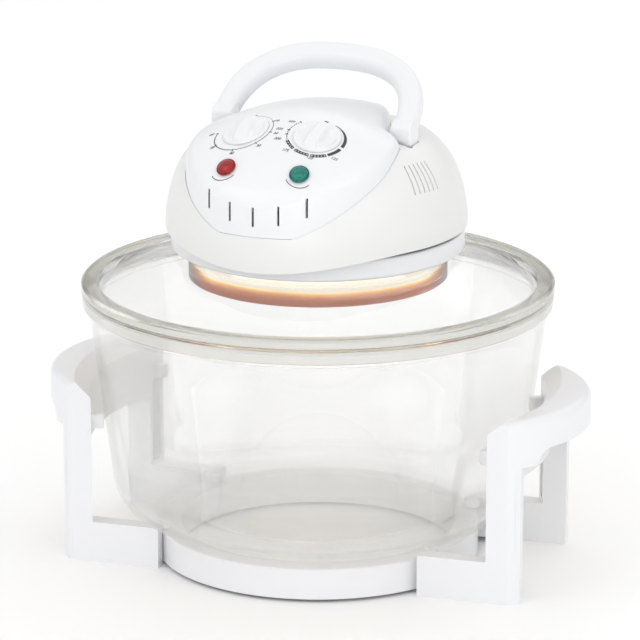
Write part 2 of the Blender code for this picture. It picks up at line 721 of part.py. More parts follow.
def build_glass_lid():
    steps = 4
    edge = LID_GLASS / 3
    lip_r = bowl_radius(BOWL_TOP_Z) - BOWL_WALL - LID_LIP_PLAY
    top = [lid_skin(i / steps) for i in range(steps + 1)]
    profile = [(RIM_R, LID_EDGE_Z + edge), (RIM_R, LID_EDGE_TOP_Z - edge), (RIM_R - edge, LID_EDGE_TOP_Z),
               (RIM_R - LID_EDGE_W + edge, LID_EDGE_TOP_Z)]
    profile += top
    profile += [(LID_HOLE_R, SEAT_Z), (LID_HOLE_R, SEAT_Z - LID_GLASS)]
    profile += [(r, z - LID_GLASS) for r, z in reversed(top[1:])]
    profile += [(lip_r - LID_LIP_W, LID_EDGE_Z - LID_LIP_H), (lip_r, LID_EDGE_Z - LID_LIP_H),
                (lip_r, LID_EDGE_Z), (RIM_R - edge, LID_EDGE_Z)]
    return turned("glass_lid", profile, GLASS, parent=HEAD)


def bore_for_screws(piece):
    """Clearance holes for the screws that come up into the housing's bosses."""
    for angle in BOSS_ANGLES:
        boolean(piece, rod("housing_screw_hole", SCREW_R + FIT_GAP, COLLAR_TOP_Z - OVERRUN,
                           RING_TOP_Z + OVERRUN, WHITE, SMALL_STEPS // 2,
                           place=around(BOSS_PITCH_R, angle), parent=HEAD, cutter=True))


def build_ring():
    foot = RING_WALL
    foot_r = COLLAR_R + COLLAR_T
    ring = turned("lid_ring", [
        (RING_R - foot / 3, RING_TOP_Z), (RING_R, RING_TOP_Z - foot / 3), (RING_R, RING_Z + GASKET_T + FIT_GAP),
        (foot_r, RING_Z + GASKET_T + FIT_GAP), (foot_r, RING_Z + GASKET_T + FIT_GAP + foot),
        (RING_R - foot, RING_Z + GASKET_T + FIT_GAP + foot), (RING_R - foot, RING_FLOOR_Z),
        (RING_FLOOR_R, RING_FLOOR_Z), (RING_FLOOR_R, RING_TOP_Z)], WHITE, parent=HEAD)
    bore_for_screws(ring)


def build_collar():
    turned("ring_gasket", [
        (LID_HOLE_R + GASKET_T, RING_Z), (RING_R - GASKET_T * 3, RING_Z),
        (RING_R - GASKET_T * 3, RING_Z + GASKET_T), (LID_HOLE_R + GASKET_T, RING_Z + GASKET_T)],
        SILICONE, parent=HEAD)
    collar = turned("metal_collar", [
        (COLLAR_R, COLLAR_TOP_Z), (COLLAR_R, COLLAR_BOTTOM_Z), (COLLAR_R - COLLAR_T, COLLAR_BOTTOM_Z),
        (COLLAR_R - COLLAR_T, COLLAR_TOP_Z - COLLAR_T), (COLLAR_R - COLLAR_LIP, COLLAR_TOP_Z - COLLAR_T),
        (COLLAR_R - COLLAR_LIP, COLLAR_TOP_Z)], STEEL, parent=HEAD)
    bore_for_screws(collar)
    rim = COLLAR_R - COLLAR_T - FIT_GAP
    turned("reflector_plate", [
        (rim, REFLECTOR_Z + PLATE_T), (rim, REFLECTOR_Z - PLATE_T * 3), (rim - PLATE_T, REFLECTOR_Z - PLATE_T * 3),
        (rim - PLATE_T, REFLECTOR_Z), (SHAFT_HOLE_R, REFLECTOR_Z), (SHAFT_HOLE_R, REFLECTOR_Z + PLATE_T)],
        STEEL, parent=HEAD)


def build_grille():
    """Chromed guard: round wires on straight spokes, under the lamp."""
    outer = COLLAR_R - COLLAR_T - FIT_GAP - GRILLE_WIRE_R
    radii = [outer * (i + 1) / GRILLE_RINGS for i in range(GRILLE_RINGS)]
    loops = [[(r * cos(2 * pi * i / n), r * sin(2 * pi * i / n), GRILLE_Z) for i in range(n)]
             for r, n in ((r, ceil(GRILLE_STEPS * (0.4 + 0.6 * r / outer))) for r in radii)]
    grille = wire("guard_grille", loops[-1], GRILLE_WIRE_R, CHROME, cyclic=True, parent=HEAD)
    for loop in loops[:-1]:
        boolean(grille, wire("grille_wire", loop, GRILLE_WIRE_R, CHROME, cyclic=True, parent=HEAD,
                             cutter=True), 'UNION')
    for i in range(GRILLE_SPOKES):
        angle = pi * (i + 0.25) / GRILLE_SPOKES
        z = GRILLE_Z + GRILLE_WIRE_R
        ends = [(outer * k * cos(angle), outer * k * sin(angle), z) for k in (-1, 1)]
        boolean(grille, wire("grille_spoke", ends, GRILLE_WIRE_R, CHROME, parent=HEAD, cutter=True),
                'UNION')
    return grille


def build_lamp():
    """Ring-shaped halogen tube with its ceramic ends and spring clips."""
    start = pi / 2 + LAMP_GAP_ANGLE
    turn = 2 * pi - 2 * LAMP_GAP_ANGLE
    steps = 26
    bends = arc((0, 0), LAMP_R, start, start + turn, steps)
    wire("halogen_tube", [(x, y, LAMP_Z) for x, y in bends], LAMP_TUBE_R, QUARTZ, parent=HEAD)
    top = REFLECTOR_Z - FIT_GAP
    for name, tip, before in (("lamp_end_cap_left", bends[0], bends[1]),
                              ("lamp_end_cap_right", bends[-1], bends[-2])):
        low = LAMP_Z - LAMP_TUBE_R
        cap = block(name, (LAMP_CAP_L, LAMP_CAP_W, top - low), (0, 0, 0), CERAMIC, LAMP_CLIP_T, parent=HEAD)
        onward = (Vector(tip) - Vector(before)).normalized()
        middle = Vector(tip) + onward * (LAMP_CAP_L / 2 + FIT_GAP)
        cap.location = (middle.x, middle.y, (top + low) / 2)
        cap.rotation_euler = (0, 0, atan2(onward.y, onward.x))
    for name, angle in (("lamp_clip_left", -pi / 2 * 0.9), ("lamp_clip_right", pi / 2 * 0.9)):
        ring_in = LAMP_TUBE_R + FIT_GAP * 2
        clip = rod(name, ring_in + LAMP_CLIP_T, -LAMP_CLIP_W / 2, LAMP_CLIP_W / 2, CHROME, 16, 'X', parent=HEAD)
        stem_top = REFLECTOR_Z - FIT_GAP - LAMP_Z
        stem = block(name + "_stem", (LAMP_CLIP_W, LAMP_CLIP_T * 2, stem_top - ring_in),
                     (0, 0, (stem_top + ring_in) / 2), CHROME, parent=HEAD, cutter=True)
        bore = rod(name + "_bore", ring_in, -LAMP_CLIP_W, LAMP_CLIP_W, CHROME, 16, 'X', parent=HEAD,
                   cutter=True)
        place = around(LAMP_R, angle, LAMP_Z)
        for obj in (clip, stem, bore):
            obj.location = place
            obj.rotation_euler = (0, 0, angle)
        boolean(clip, stem, 'UNION')
        boolean(clip, bore)


def build_probe():
    """Temperature bulb that hangs below the reflector, off the lamp's circle."""
    radius = (LAMP_R + FAN_R) / 2
    place = around(radius, radians(160), 0)
    top = REFLECTOR_Z - FIT_GAP
    turned("temperature_probe", [
        (0, top), (PROBE_R * 2, top), (PROBE_R * 2, top - PROBE_R), (PROBE_R, top - PROBE_R),
        (PROBE_R, top - FAN_DROP), (0, top - FAN_DROP - PROBE_R)], CHROME, SMALL_STEPS // 2,
        place=place, parent=HEAD)


def fan(name, z, radius, rise, material):
    """A hub with pitched blades, on the shaft."""
    wheel = turned(name, [
        (FAN_HUB_R, z + FAN_HUB_H / 2), (FAN_HUB_R, z - FAN_HUB_H / 2), (SHAFT_R + BEARING_PLAY, z - FAN_HUB_H / 2),
        (SHAFT_R + BEARING_PLAY, z + FAN_HUB_H / 2)], material, SMALL_STEPS, parent=HEAD)
    length = radius - FAN_HUB_R + SHAFT_R
    for i in range(FAN_BLADES):
        blade = block(name + "_blade", (length, FAN_BLADE_T, rise), (FAN_HUB_R - SHAFT_R + length / 2, 0, 0),
                      material, parent=HEAD, cutter=True)
        blade.data.transform(Matrix.Rotation(FAN_PITCH, 4, 'X'))
        blade.location = (0, 0, z)
        blade.rotation_euler = (0, 0, 2 * pi * i / FAN_BLADES)
        boolean(wheel, blade, 'UNION')
    return wheel


def build_motor():
    low = FAN_Z - FAN_HUB_H / 2 - NUT_H - FIT_GAP * 2
    shaft = rod("fan_shaft", SHAFT_R, low, SHAFT_TOP_Z, STEEL, parent=HEAD)
    fan("convection_fan", FAN_Z, FAN_R, FAN_BLADE_H, ALUMINIUM)
    fan("cooling_fan", COOL_FAN_Z, COOL_FAN_R, FAN_BLADE_H, NYLON)
    nut_sides = 6
    thread_r = (SHAFT_R + BEARING_PLAY) / cos(pi / nut_sides)
    turned("fan_nut", [(NUT_R, low + NUT_H), (NUT_R, low), (thread_r, low), (thread_r, low + NUT_H)],
           BRASS, nut_sides, parent=HEAD)
    turned("motor_rotor", [
        (ROTOR_R, STATOR_TOP_Z - FIT_GAP * 2), (ROTOR_R, STATOR_Z + FIT_GAP * 2),
        (SHAFT_R + BEARING_PLAY, STATOR_Z + FIT_GAP * 2), (SHAFT_R + BEARING_PLAY, STATOR_TOP_Z - FIT_GAP * 2)],
        IRON, SMALL_STEPS, parent=HEAD)

    turned("heat_shield", [
        (SHIELD_R, SHIELD_Z + PLATE_T), (SHIELD_R, RING_TOP_Z + FIT_GAP), (SHIELD_R - PLATE_T, RING_TOP_Z + FIT_GAP),
        (SHIELD_R - PLATE_T, SHIELD_Z), (SHAFT_HOLE_R, SHIELD_Z), (SHAFT_HOLE_R, SHIELD_Z + PLATE_T)],
        ALUMINIUM, parent=HEAD)

    foot_z = SHIELD_Z + PLATE_T + FIT_GAP
    half = BRACKET_SPAN / 2
    foot = BRACKET_W / 2
    t = BRACKET_T
    outline = [(half + foot, foot_z), (half + foot, foot_z + t), (half, foot_z + t), (half, BRACKET_TOP_Z),
               (-half, BRACKET_TOP_Z), (-half, foot_z + t), (-half - foot, foot_z + t), (-half - foot, foot_z),
               (-half + t, foot_z), (-half + t, BRACKET_TOP_Z - t), (half - t, BRACKET_TOP_Z - t),
               (half - t, foot_z)]
    bracket = plate("motor_bracket", outline, -BRACKET_W / 2, BRACKET_W / 2, STEEL, parent=HEAD)
    bracket.data.transform(Matrix.Rotation(pi / 2, 4, 'X'))
    boolean(bracket, rod("bracket_bore", BUSH_R + FIT_GAP, foot_z, BRACKET_TOP_Z + OVERRUN, STEEL, parent=HEAD,
                         cutter=True))
    bush_top = STATOR_Z
    for name, z in (("lower_bush", BRACKET_TOP_Z - BUSH_H), ("upper_bush", STATOR_TOP_Z + FIT_GAP)):
        turned(name, [(BUSH_R, z + BUSH_H), (BUSH_R, z), (SHAFT_R + BEARING_PLAY, z),
                      (SHAFT_R + BEARING_PLAY, z + BUSH_H)], BRASS, SMALL_STEPS, parent=HEAD)

    middle = (STATOR_Z + STATOR_TOP_Z) / 2
    stator = block("motor_stator", (STATOR_W, STATOR_L, STATOR_H), (0, 0, middle), IRON, parent=HEAD)
    boolean(stator, rod("stator_bore", STATOR_BORE_R, STATOR_Z - OVERRUN, STATOR_TOP_Z + OVERRUN, IRON,
                        parent=HEAD, cutter=True))
    coil_y = STATOR_L / 2 + FIT_GAP + COIL_L / 2
    limb_w = STATOR_W / 2
    limb_h = STATOR_H / 2
    limb_end = coil_y + COIL_L / 2 + BRACKET_T
    limb_from = STATOR_L / 2 - OVERRUN
    limb = block("stator_limb", (limb_w, limb_end - limb_from, limb_h), (0, (limb_end + limb_from) / 2, middle),
                 IRON, parent=HEAD, cutter=True)
    boolean(stator, limb, 'UNION')
    coil = block("motor_coil", (STATOR_W, COIL_L, STATOR_H), (0, coil_y, middle), COPPER, BRACKET_T, parent=HEAD)
    boolean(coil, block("coil_core_room", (limb_w + FIT_GAP * 2, COIL_L * 2, limb_h + FIT_GAP * 2),
                        (0, coil_y, middle), COPPER, parent=HEAD, cutter=True))

    bridge_z = STATOR_TOP_Z + FIT_GAP
    bridge = block("upper_bridge", (BRACKET_W, STATOR_L, BRACKET_T), (0, 0, bridge_z + BRACKET_T / 2), STEEL,
                   parent=HEAD)
    boolean(bridge, rod("bridge_bore", BUSH_R + FIT_GAP, bridge_z - OVERRUN, bridge_z + OVERRUN, STEEL,
                        parent=HEAD, cutter=True))


# Head

def dome_ring(radius, z_at):
    ring = []
    for i in range(DOME_SIDES):
        angle = 2 * pi * i / DOME_SIDES
        x, y, _ = around(radius, angle)
        ring.append((x, y * DOME_FRONT_STRETCH if y < 0 else y, z_at(angle)))
    return ring


def dome_skirt(angle):
    """Height of the skirt's lower edge: it hangs lower at the front."""
    off = abs((angle + pi) % (2 * pi) - pi)
    share = max(0, 1 - off / DOME_DIP_HALF)
    return DOME_BASE_Z - DOME_DIP * sin(pi / 2 * share) ** 2


def build_housing():
    base_r = DOME_SHAPE[0][0]
    rings = [dome_ring(base_r, dome_skirt)]
    for radius, z in DOME_SHAPE:
        rings.append(dome_ring(radius, lambda angle, z=z: z))
    dome = lofted("head_housing", rings, (0, 0, DOME_CROWN_Z), DOME_WALL, SHELL_WHITE, parent=HEAD)
    opening = plate("panel_opening", panel_outline(FIT_GAP), PANEL_FOOT_Z - FIT_GAP, CROWN_Z, WHITE, parent=HEAD,
                    cutter=True)
    boolean(dome, opening)
    for angle in BOSS_ANGLES:
        x, y, _ = around(BOSS_PITCH_R, angle)
        top = dome_height(BOSS_PITCH_R + BOSS_R) - DOME_WALL / 2
        boss = rod("screw_boss", BOSS_R, RING_TOP_Z + FIT_GAP, top, WHITE, SMALL_STEPS // 2, place=(x, y, 0),
                   parent=HEAD, cutter=True)
        boolean(dome, boss, 'UNION')
        boolean(dome, rod("boss_hole", SCREW_R + FIT_GAP, RING_TOP_Z - OVERRUN, RING_TOP_Z + BOSS_R * 3, WHITE,
                          SMALL_STEPS // 2, place=(x, y, 0), parent=HEAD, cutter=True))
    for side in (-1, 1):
        for i in range(VENT_COUNT):
            angle = side * (VENT_ANGLE + VENT_STEP * i)
            x, y, _ = around(dome_mid_radius(), angle)
            vent = block("vent", (VENT_W, DOME_WALL * 6, VENT_L), (0, 0, 0), WHITE, place=(x, y, VENT_Z),
                         parent=HEAD, cutter=True)
            vent.rotation_euler = (-VENT_TILT, 0, angle)
            boolean(dome, vent)
    for side in (-1, 1):
        ends = (KNUCKLE_IN_X - OVERRUN, HANDLE_HALF + HANDLE_BAR_W * HANDLE_TIP_SHARE / 2 + KNUCKLE_PLAY)
        boolean(dome, rod("handle_recess", HANDLE_BAR_D * HANDLE_TIP_SHARE / 2 + KNUCKLE_PLAY, *ends, WHITE,
                          SMALL_STEPS, 'X',
                          place=(0, PIVOT_Y, PIVOT_Z), turn=(0, 0, 0 if side > 0 else pi), parent=HEAD,
                          cutter=True))
    inlet = rod("inlet_hole", INLET_R + FIT_GAP, base_r - OVERRUN * 2, base_r + OVERRUN, WHITE, SMALL_STEPS, 'Y',
                place=(0, 0, INLET_Z), parent=HEAD, cutter=True)
    boolean(dome, inlet)
    return dome


def panel_outline(grow=0):
    """Plan of the raised panel: round nose, a notch for the handle each side, narrow tail."""
    count = PANEL_SIDES // 2
    nose = PANEL_MID_Y - PANEL_NOSE_Y
    half = []
    for i in range(count // 2 + 1):
        t = pi * i / count
        half.append((PANEL_HALF * sin(t), PANEL_MID_Y - nose * cos(t)))
    for share in PANEL_REAR_SHARES:
        y = PANEL_MID_Y + (PANEL_TAIL_Y - PANEL_MID_Y) * share
        half.append((panel_half_width(y), y))
    half.append((0, PANEL_TAIL_Y))
    points = half + [(-x, y) for x, y in reversed(half[1:-1])]
    if not grow:
        return points
    middle = Vector((0, (PANEL_NOSE_Y + PANEL_TAIL_Y) / 2))
    return [tuple(Vector(p) + (Vector(p) - middle).normalized() * grow) for p in points]


def panel_half_width(y):
    """Half width behind the widest place."""
    if y < PANEL_SHOULDER_Y:
        ease = (y - PANEL_MID_Y) / (PANEL_SHOULDER_Y - PANEL_MID_Y)
        return PANEL_HALF - (PANEL_HALF - PANEL_SHOULDER) * ease ** 2
    if y < PANEL_NOTCH_Y:
        ease = (y - PANEL_SHOULDER_Y) / (PANEL_NOTCH_Y - PANEL_SHOULDER_Y)
        return PANEL_SHOULDER - (PANEL_SHOULDER - PANEL_NOTCH) * sin(pi / 2 * ease) ** 2
    wide = PANEL_NOTCH - PANEL_TAPER * (y - PANEL_NOTCH_Y)
    u = max(0, (y - PANEL_TAIL_START_Y) / (PANEL_TAIL_Y - PANEL_TAIL_START_Y))
    return wide * (1 - min(1, u) ** 3) ** 0.5


def build_panel():
    outline = panel_outline()
    middle_y = (PANEL_NOSE_Y + PANEL_TAIL_Y) / 2

    def inset(depth, drop, flat=None):
        ring = []
        for x, y in outline:
            away = hypot(x, y - middle_y)
            share = 1 - depth / away
            px, py = x * share, middle_y + (y - middle_y) * share
            ring.append((px, py, flat if flat is not None else crown_height(px, py) - drop))
        return ring

    rings = [inset(0, 0, PANEL_FOOT_Z)]
    for t in (0, pi / 6, pi / 3, pi / 2):
        rings.append(inset(PANEL_EDGE_R * (1 - cos(t)), PANEL_EDGE_R * (1 - sin(t))))
    for share in (0.72, 0.44, 0.18):
        rings.append([(x * share, middle_y + (y - middle_y) * share,
                       crown_height(x * share, middle_y + (y - middle_y) * share)) for x, y in outline])
    panel = lofted("control_panel", rings, (0, middle_y, crown_height(0, middle_y)), PANEL_WALL, WHITE,
                   parent=HEAD)
    for x in (-DIAL_X, DIAL_X):
        place = (x, DIAL_Y, crown_height(x, DIAL_Y))
        seat = rod("knob_seat", KNOB_R + FIT_GAP * 2, -KNOB_SEAT_DEPTH, OVERRUN * 2, WHITE, place=place,
                   turn=crown_tilt(x, DIAL_Y), parent=HEAD, cutter=True)
        bore = rod("knob_bore", KNOB_SHAFT_R + FIT_GAP, -OVERRUN * 2, OVERRUN * 2, WHITE, place=place,
                   turn=crown_tilt(x, DIAL_Y), parent=HEAD, cutter=True)
        boolean(panel, seat)
        boolean(panel, bore)
    for x in (-LENS_X, LENS_X):
        boolean(panel, rod("lens_hole", LENS_SHANK_R + FIT_GAP, -OVERRUN * 2, OVERRUN * 2, WHITE,
                           place=(x, LENS_Y, crown_height(x, LENS_Y)), turn=crown_tilt(x, LENS_Y), parent=HEAD,
                           cutter=True))
    for x, top in zip(SLOT_XS, SLOT_TOPS):
        for sign in ((1,) if x == 0 else (-1, 1)):
            depth = PANEL_WALL * 6
            y = PANEL_MID_Y - (PANEL_MID_Y - PANEL_NOSE_Y) * sqrt(1 - (x / PANEL_HALF) ** 2)
            boolean(panel, block("nose_slot", (SLOT_W, depth, SLOT_H), (sign * x, y, top - SLOT_H / 2), WHITE,
                                 parent=HEAD, cutter=True))
    for side in (-1, 1):
        wall_x = panel_half_width(PIVOT_Y)
        boolean(panel, rod("pin_hole", PIN_R + FIT_GAP, wall_x - PANEL_WALL * 3, wall_x + OVERRUN,
                           WHITE, SMALL_STEPS, 'X', place=(0, PIVOT_Y, PIVOT_Z),
                           turn=(0, 0, 0 if side > 0 else pi), parent=HEAD, cutter=True))
    return panel


def build_controls():
    """Knobs on their shafts, with the clockwork timer and the thermostat under the panel."""
    for stem, x, body_material in (("timer", -DIAL_X, STEEL), ("temp", DIAL_X, STEEL)):
        base = -KNOB_SEAT_DEPTH + FIT_GAP
        where = {"place": (x, DIAL_Y, crown_height(x, DIAL_Y)), "turn": crown_tilt(x, DIAL_Y), "parent": HEAD}
        edge = KNOB_BASE_H / 4
        floor = base + KNOB_BASE_H * KNOB_FLOOR_SHARE
        knob = turned(stem + "_knob", [
            (0, floor), (KNOB_R * KNOB_FLOOR_R_SHARE, floor), (KNOB_R - edge * 2, base + KNOB_BASE_H),
            (KNOB_R - edge, base + KNOB_BASE_H), (KNOB_R, base + KNOB_BASE_H - edge), (KNOB_R, base), (0, base)],
            WHITE, 24, **where)
        bar = block(stem + "_grip", (KNOB_BAR_W, (KNOB_R - edge) * 2, KNOB_H - KNOB_BASE_H / 2),
                    (0, 0, base + (KNOB_H + KNOB_BASE_H / 2) / 2), WHITE, KNOB_BAR_W / 5, cutter=True, **where)
        boolean(knob, bar, 'UNION')
        bore = rod(stem + "_knob_bore", KNOB_SHAFT_R + BEARING_PLAY, base - OVERRUN, base + KNOB_H / 2, WHITE,
                   SMALL_STEPS // 2, cutter=True, **where)
        boolean(knob, bore)
        rod(stem + "_shaft", KNOB_SHAFT_R, -KNOB_SHAFT_L, base + KNOB_H / 2 - FIT_GAP, STEEL, SMALL_STEPS // 2,
            **where)
        face = -CONTROL_SETBACK
        name = "timer_unit" if stem == "timer" else "thermostat"
        unit = rod(name, CONTROL_R, face - CONTROL_H, face, body_material, SMALL_STEPS, **where)
        neck = rod(name + "_neck", KNOB_SHAFT_R * 2, face - PANEL_WALL, -PANEL_WALL - KNOB_SEAT_DEPTH - FIT_GAP,
                   body_material, SMALL_STEPS // 2, cutter=True, **where)
        boolean(unit, neck, 'UNION')
        well = rod(name + "_well", KNOB_SHAFT_R + FIT_GAP, -KNOB_SHAFT_L - FIT_GAP, OVERRUN, body_material,
                   SMALL_STEPS // 2, cutter=True, **where)
        boolean(unit, well)


def build_indicators():
    """Domed lenses pushed through the panel, each over a small lamp."""
    for stem, x, material in (("power", -LENS_X, RED), ("heat", LENS_X, GREEN)):
        where = {"place": (x, LENS_Y, crown_height(x, LENS_Y)), "turn": crown_tilt(x, LENS_Y), "parent": HEAD}
        foot = FIT_GAP * 2
        rounding = 3
        dome = [(LENS_R * cos(pi / 2 * i / rounding), foot + LENS_HIGH * sin(pi / 2 * i / rounding))
                for i in range(rounding)]
        room = LAMP_BULB_R + FIT_GAP
        turned(stem + "_lens", [(0, foot + LENS_HIGH)] + list(reversed(dome)) + [
            (LENS_SHANK_R, foot), (LENS_SHANK_R, -LENS_SHANK_L), (room, -LENS_SHANK_L),
            (room, -FIT_GAP), (0, -FIT_GAP)], material, SMALL_STEPS, **where)
        turned(stem + "_lamp", [
            (0, -FIT_GAP * 2), (LAMP_BULB_R / 2, -FIT_GAP * 2), (LAMP_BULB_R, -LAMP_BULB_R), (LAMP_BULB_R, -LAMP_BULB_L),
            (0, -LAMP_BULB_L)], QUARTZ, SMALL_STEPS // 2, **where)


def build_handle():
    """Bail handle on two pins: a bowed bar that leans back from its pivots."""
    points = []
    for i in range(HANDLE_STEPS + 1):
        t = pi * i / HANDLE_STEPS
        c, s = cos(t), sin(t)
        x = HANDLE_HALF * (abs(c) ** (2 / HANDLE_POWER)) * (1 if c >= 0 else -1)
        z = HANDLE_RISE * s ** (2 / HANDLE_POWER)
        points.append((x, z))
    bm = bmesh.new()
    rings = []
    for i, (x, z) in enumerate(points):
        before, after = points[max(i - 1, 0)], points[min(i + 1, HANDLE_STEPS)]
        along = Vector((after[0] - before[0], 0, after[1] - before[1])).normalized()
        if i in (0, HANDLE_STEPS):
            along = Vector((0, 0, 1 if i == 0 else -1))
        outward = Vector((along.z, 0, -along.x))
        share = HANDLE_TIP_SHARE + (1 - HANDLE_TIP_SHARE) * min(1, z / HANDLE_RISE * 2)
        ring = []
        for across, deep in bar_section(HANDLE_BAR_W * share / 2, HANDLE_BAR_D * share / 2):
            ring.append(bm.verts.new(Vector((x, 0, z)) + outward * across + Vector((0, deep, 0))))
        rings.append(ring)
    bmesh.ops.contextual_create(bm, geom=rings[0])
    bmesh.ops.contextual_create(bm, geom=rings[-1])
    for a, b in zip(rings, rings[1:]):
        for i in range(len(a)):
            j = (i + 1) % len(a)
            bm.faces.new((a[i], a[j], b[j], b[i]))
    handle = put("carry_handle", mesh_from(bm, "carry_handle"), WHITE,
                 place=(0, PIVOT_Y, PIVOT_Z + HANDLE_OFFSET), turn=(-HANDLE_LEAN, 0, 0), parent=HEAD)
    radius = HANDLE_BAR_D * HANDLE_TIP_SHARE / 2
    for side in (-1, 1):
        near, far = KNUCKLE_IN_X, HANDLE_HALF + HANDLE_BAR_W * HANDLE_TIP_SHARE / 2
        where = {"place": (0, PIVOT_Y, PIVOT_Z), "turn": (-HANDLE_LEAN, 0, 0 if side > 0 else pi),
                 "parent": HEAD, "cutter": True}
        eye = rod("handle_eye", radius, near, far, WHITE, SMALL_STEPS, 'X', **where)
        boolean(handle, eye, 'UNION')
    for side in (-1, 1):
        near = KNUCKLE_IN_X - OVERRUN
        where = {"place": (0, PIVOT_Y, PIVOT_Z), "turn": (-HANDLE_LEAN, 0, 0 if side > 0 else pi),
                 "parent": HEAD, "cutter": True}
        boolean(handle, rod("handle_bore", PIN_R + FIT_GAP, near, HANDLE_HALF + PIN_R, WHITE, SMALL_STEPS, 'X',
                            **where))
    return handle


def bar_section(half_w, half_d):
    """Rounded section of the handle bar: across the bail, and front to back."""
    points = []
    for i in range(HANDLE_BAR_SIDES):
        t = 2 * pi * (i + 0.5) / HANDLE_BAR_SIDES
        c, s = cos(t), sin(t)
        across = half_w * abs(c) ** HANDLE_BAR_ROUNDNESS * (1 if c > 0 else -1)
        deep = half_d * abs(s) ** HANDLE_BAR_ROUNDNESS * (1 if s > 0 else -1)
        points.append((across, deep))
    return points


def build_head_fittings():
    """Pins, safety switch, cord inlet and housing screws."""
    for name, side in (("handle_pin_left", -1), ("handle_pin_right", 1)):
        inner = panel_half_width(PIVOT_Y + PIN_HEAD_R) - PANEL_WALL * NOTCH_WALL - FIT_GAP * 2
        outer = HANDLE_HALF + PIN_R - FIT_GAP
        pin = turned(name, [
            (0, inner - PIN_HEAD_T), (PIN_HEAD_R, inner - PIN_HEAD_T), (PIN_HEAD_R, inner), (PIN_R, inner),
            (PIN_R, outer), (0, outer)], STEEL, SMALL_STEPS // 2, place=(0, PIVOT_Y, PIVOT_Z), parent=HEAD)
        pin.rotation_euler = (0, side * pi / 2, 0)
    inner = panel_half_width(PIVOT_Y + SWITCH_L / 2) - PANEL_WALL * NOTCH_WALL - FIT_GAP * 2
    switch_x = inner - SWITCH_W / 2
    block("safety_switch", (SWITCH_W, SWITCH_L, SWITCH_H),
          (switch_x, PIVOT_Y, PIVOT_Z - PIN_HEAD_R - SWITCH_H / 2 - FIT_GAP * 4), NYLON, FIT_GAP * 2, parent=HEAD)
    wall_y = DOME_SHAPE[1][0]
    turned("cord_inlet", [
        (INLET_BORE_R, INLET_FLANGE_T), (INLET_FLANGE_R, INLET_FLANGE_T), (INLET_FLANGE_R, FIT_GAP), (INLET_R, FIT_GAP),
        (INLET_R, -INLET_L), (INLET_BORE_R, -INLET_L)], NYLON, SMALL_STEPS,
        place=(0, wall_y + FIT_GAP, INLET_Z), turn=(-pi / 2, 0, 0), parent=HEAD)
    for i, angle in enumerate(BOSS_ANGLES):
        x, y, _ = around(BOSS_PITCH_R, angle)
        low = COLLAR_TOP_Z - COLLAR_T - FIT_GAP
        turned(f"housing_screw_{i + 1}", [
            (0, low - SCREW_HEAD_H), (SCREW_HEAD_R, low - SCREW_HEAD_H), (SCREW_HEAD_R, low), (SCREW_R, low),
            (SCREW_R, RING_TOP_Z + BOSS_R * 2), (0, RING_TOP_Z + BOSS_R * 2)], STEEL, SMALL_STEPS // 2,
            place=(x, y, 0), parent=HEAD)


def dome_mid_radius():
    """Radius of the dome where the vents are cut."""
    shape = DOME_SHAPE
    for (r0, z0), (r1, z1) in zip(shape, shape[1:]):
        if z0 <= VENT_Z <= z1:
            return r0 + (r1 - r0) * (VENT_Z - z0) / (z1 - z0)
    return shape[-1][0]


HEAD = empty("head", turn=(0, 0, HEAD_TURN))

build_base_ring()
build_handle_frame("handle_frame_left", -1)
build_handle_frame("handle_frame_right", 1)
build_stand_fittings()
build_bowl()
build_glass_lid()
build_ring()
build_collar()
build_grille()
build_lamp()
build_probe()
build_motor()
build_housing()
build_panel()
build_controls()
build_indicators()
build_handle()
build_head_fittings()
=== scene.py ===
import bpy
import bmesh
import json
from math import asin, atan2, cos, hypot, pi, radians, sin, sqrt
from mathutils import Matrix, Vector


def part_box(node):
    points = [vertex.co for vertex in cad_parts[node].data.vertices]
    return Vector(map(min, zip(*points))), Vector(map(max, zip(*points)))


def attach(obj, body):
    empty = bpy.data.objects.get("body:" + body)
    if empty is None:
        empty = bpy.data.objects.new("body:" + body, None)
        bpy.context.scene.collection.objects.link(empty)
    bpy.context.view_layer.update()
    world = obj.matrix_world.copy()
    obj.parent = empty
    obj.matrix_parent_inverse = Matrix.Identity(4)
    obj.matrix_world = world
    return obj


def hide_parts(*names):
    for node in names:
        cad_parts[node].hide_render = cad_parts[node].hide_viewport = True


bl_info = {
    "name": "Halogen oven looks",
    "version": (1, 0, 0),
    "blender": (4, 5, 0),
    "location": "View3D > Sidebar > Oven",
    "description": "Dresses the packed halogen oven in finished pieces, materials and a photo studio",
    "category": "Object",
}

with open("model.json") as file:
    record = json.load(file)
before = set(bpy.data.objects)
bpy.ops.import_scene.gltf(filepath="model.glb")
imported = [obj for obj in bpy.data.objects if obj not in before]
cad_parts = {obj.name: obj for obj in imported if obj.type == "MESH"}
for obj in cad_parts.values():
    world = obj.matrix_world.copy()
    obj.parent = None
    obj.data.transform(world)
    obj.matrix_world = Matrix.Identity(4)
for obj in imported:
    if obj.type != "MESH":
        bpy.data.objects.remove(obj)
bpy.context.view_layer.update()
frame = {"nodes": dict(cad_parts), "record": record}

# ---------------- shared sizes, in metres and radians
MM = 0.001
GAP = 0.3 * MM
WELD = 0.002 * MM
OVER = 4 * MM
CREASE = radians(32)
HEAD_TURN = Matrix.Rotation(radians(-5), 4, 'Z')
BOWL_LOW, BOWL_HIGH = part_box("glass_bowl")
LID_LOW, LID_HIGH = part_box("glass_lid")
RING_LOW, RING_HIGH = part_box("lid_ring")
COLLAR_LOW, COLLAR_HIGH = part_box("metal_collar")
BASE_LOW, BASE_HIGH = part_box("base_ring")

BOWL_BASE_R = 116.5 * MM
BOWL_CORNER_R = 33 * MM
BOWL_SLOPE = 0.13
BOWL_WALL = 4.5 * MM
RIM_R = 170 * MM
LID_HOLE_R = 96.5 * MM
SEAT_Z = LID_HIGH.z
COLLAR_R = 92.9 * MM

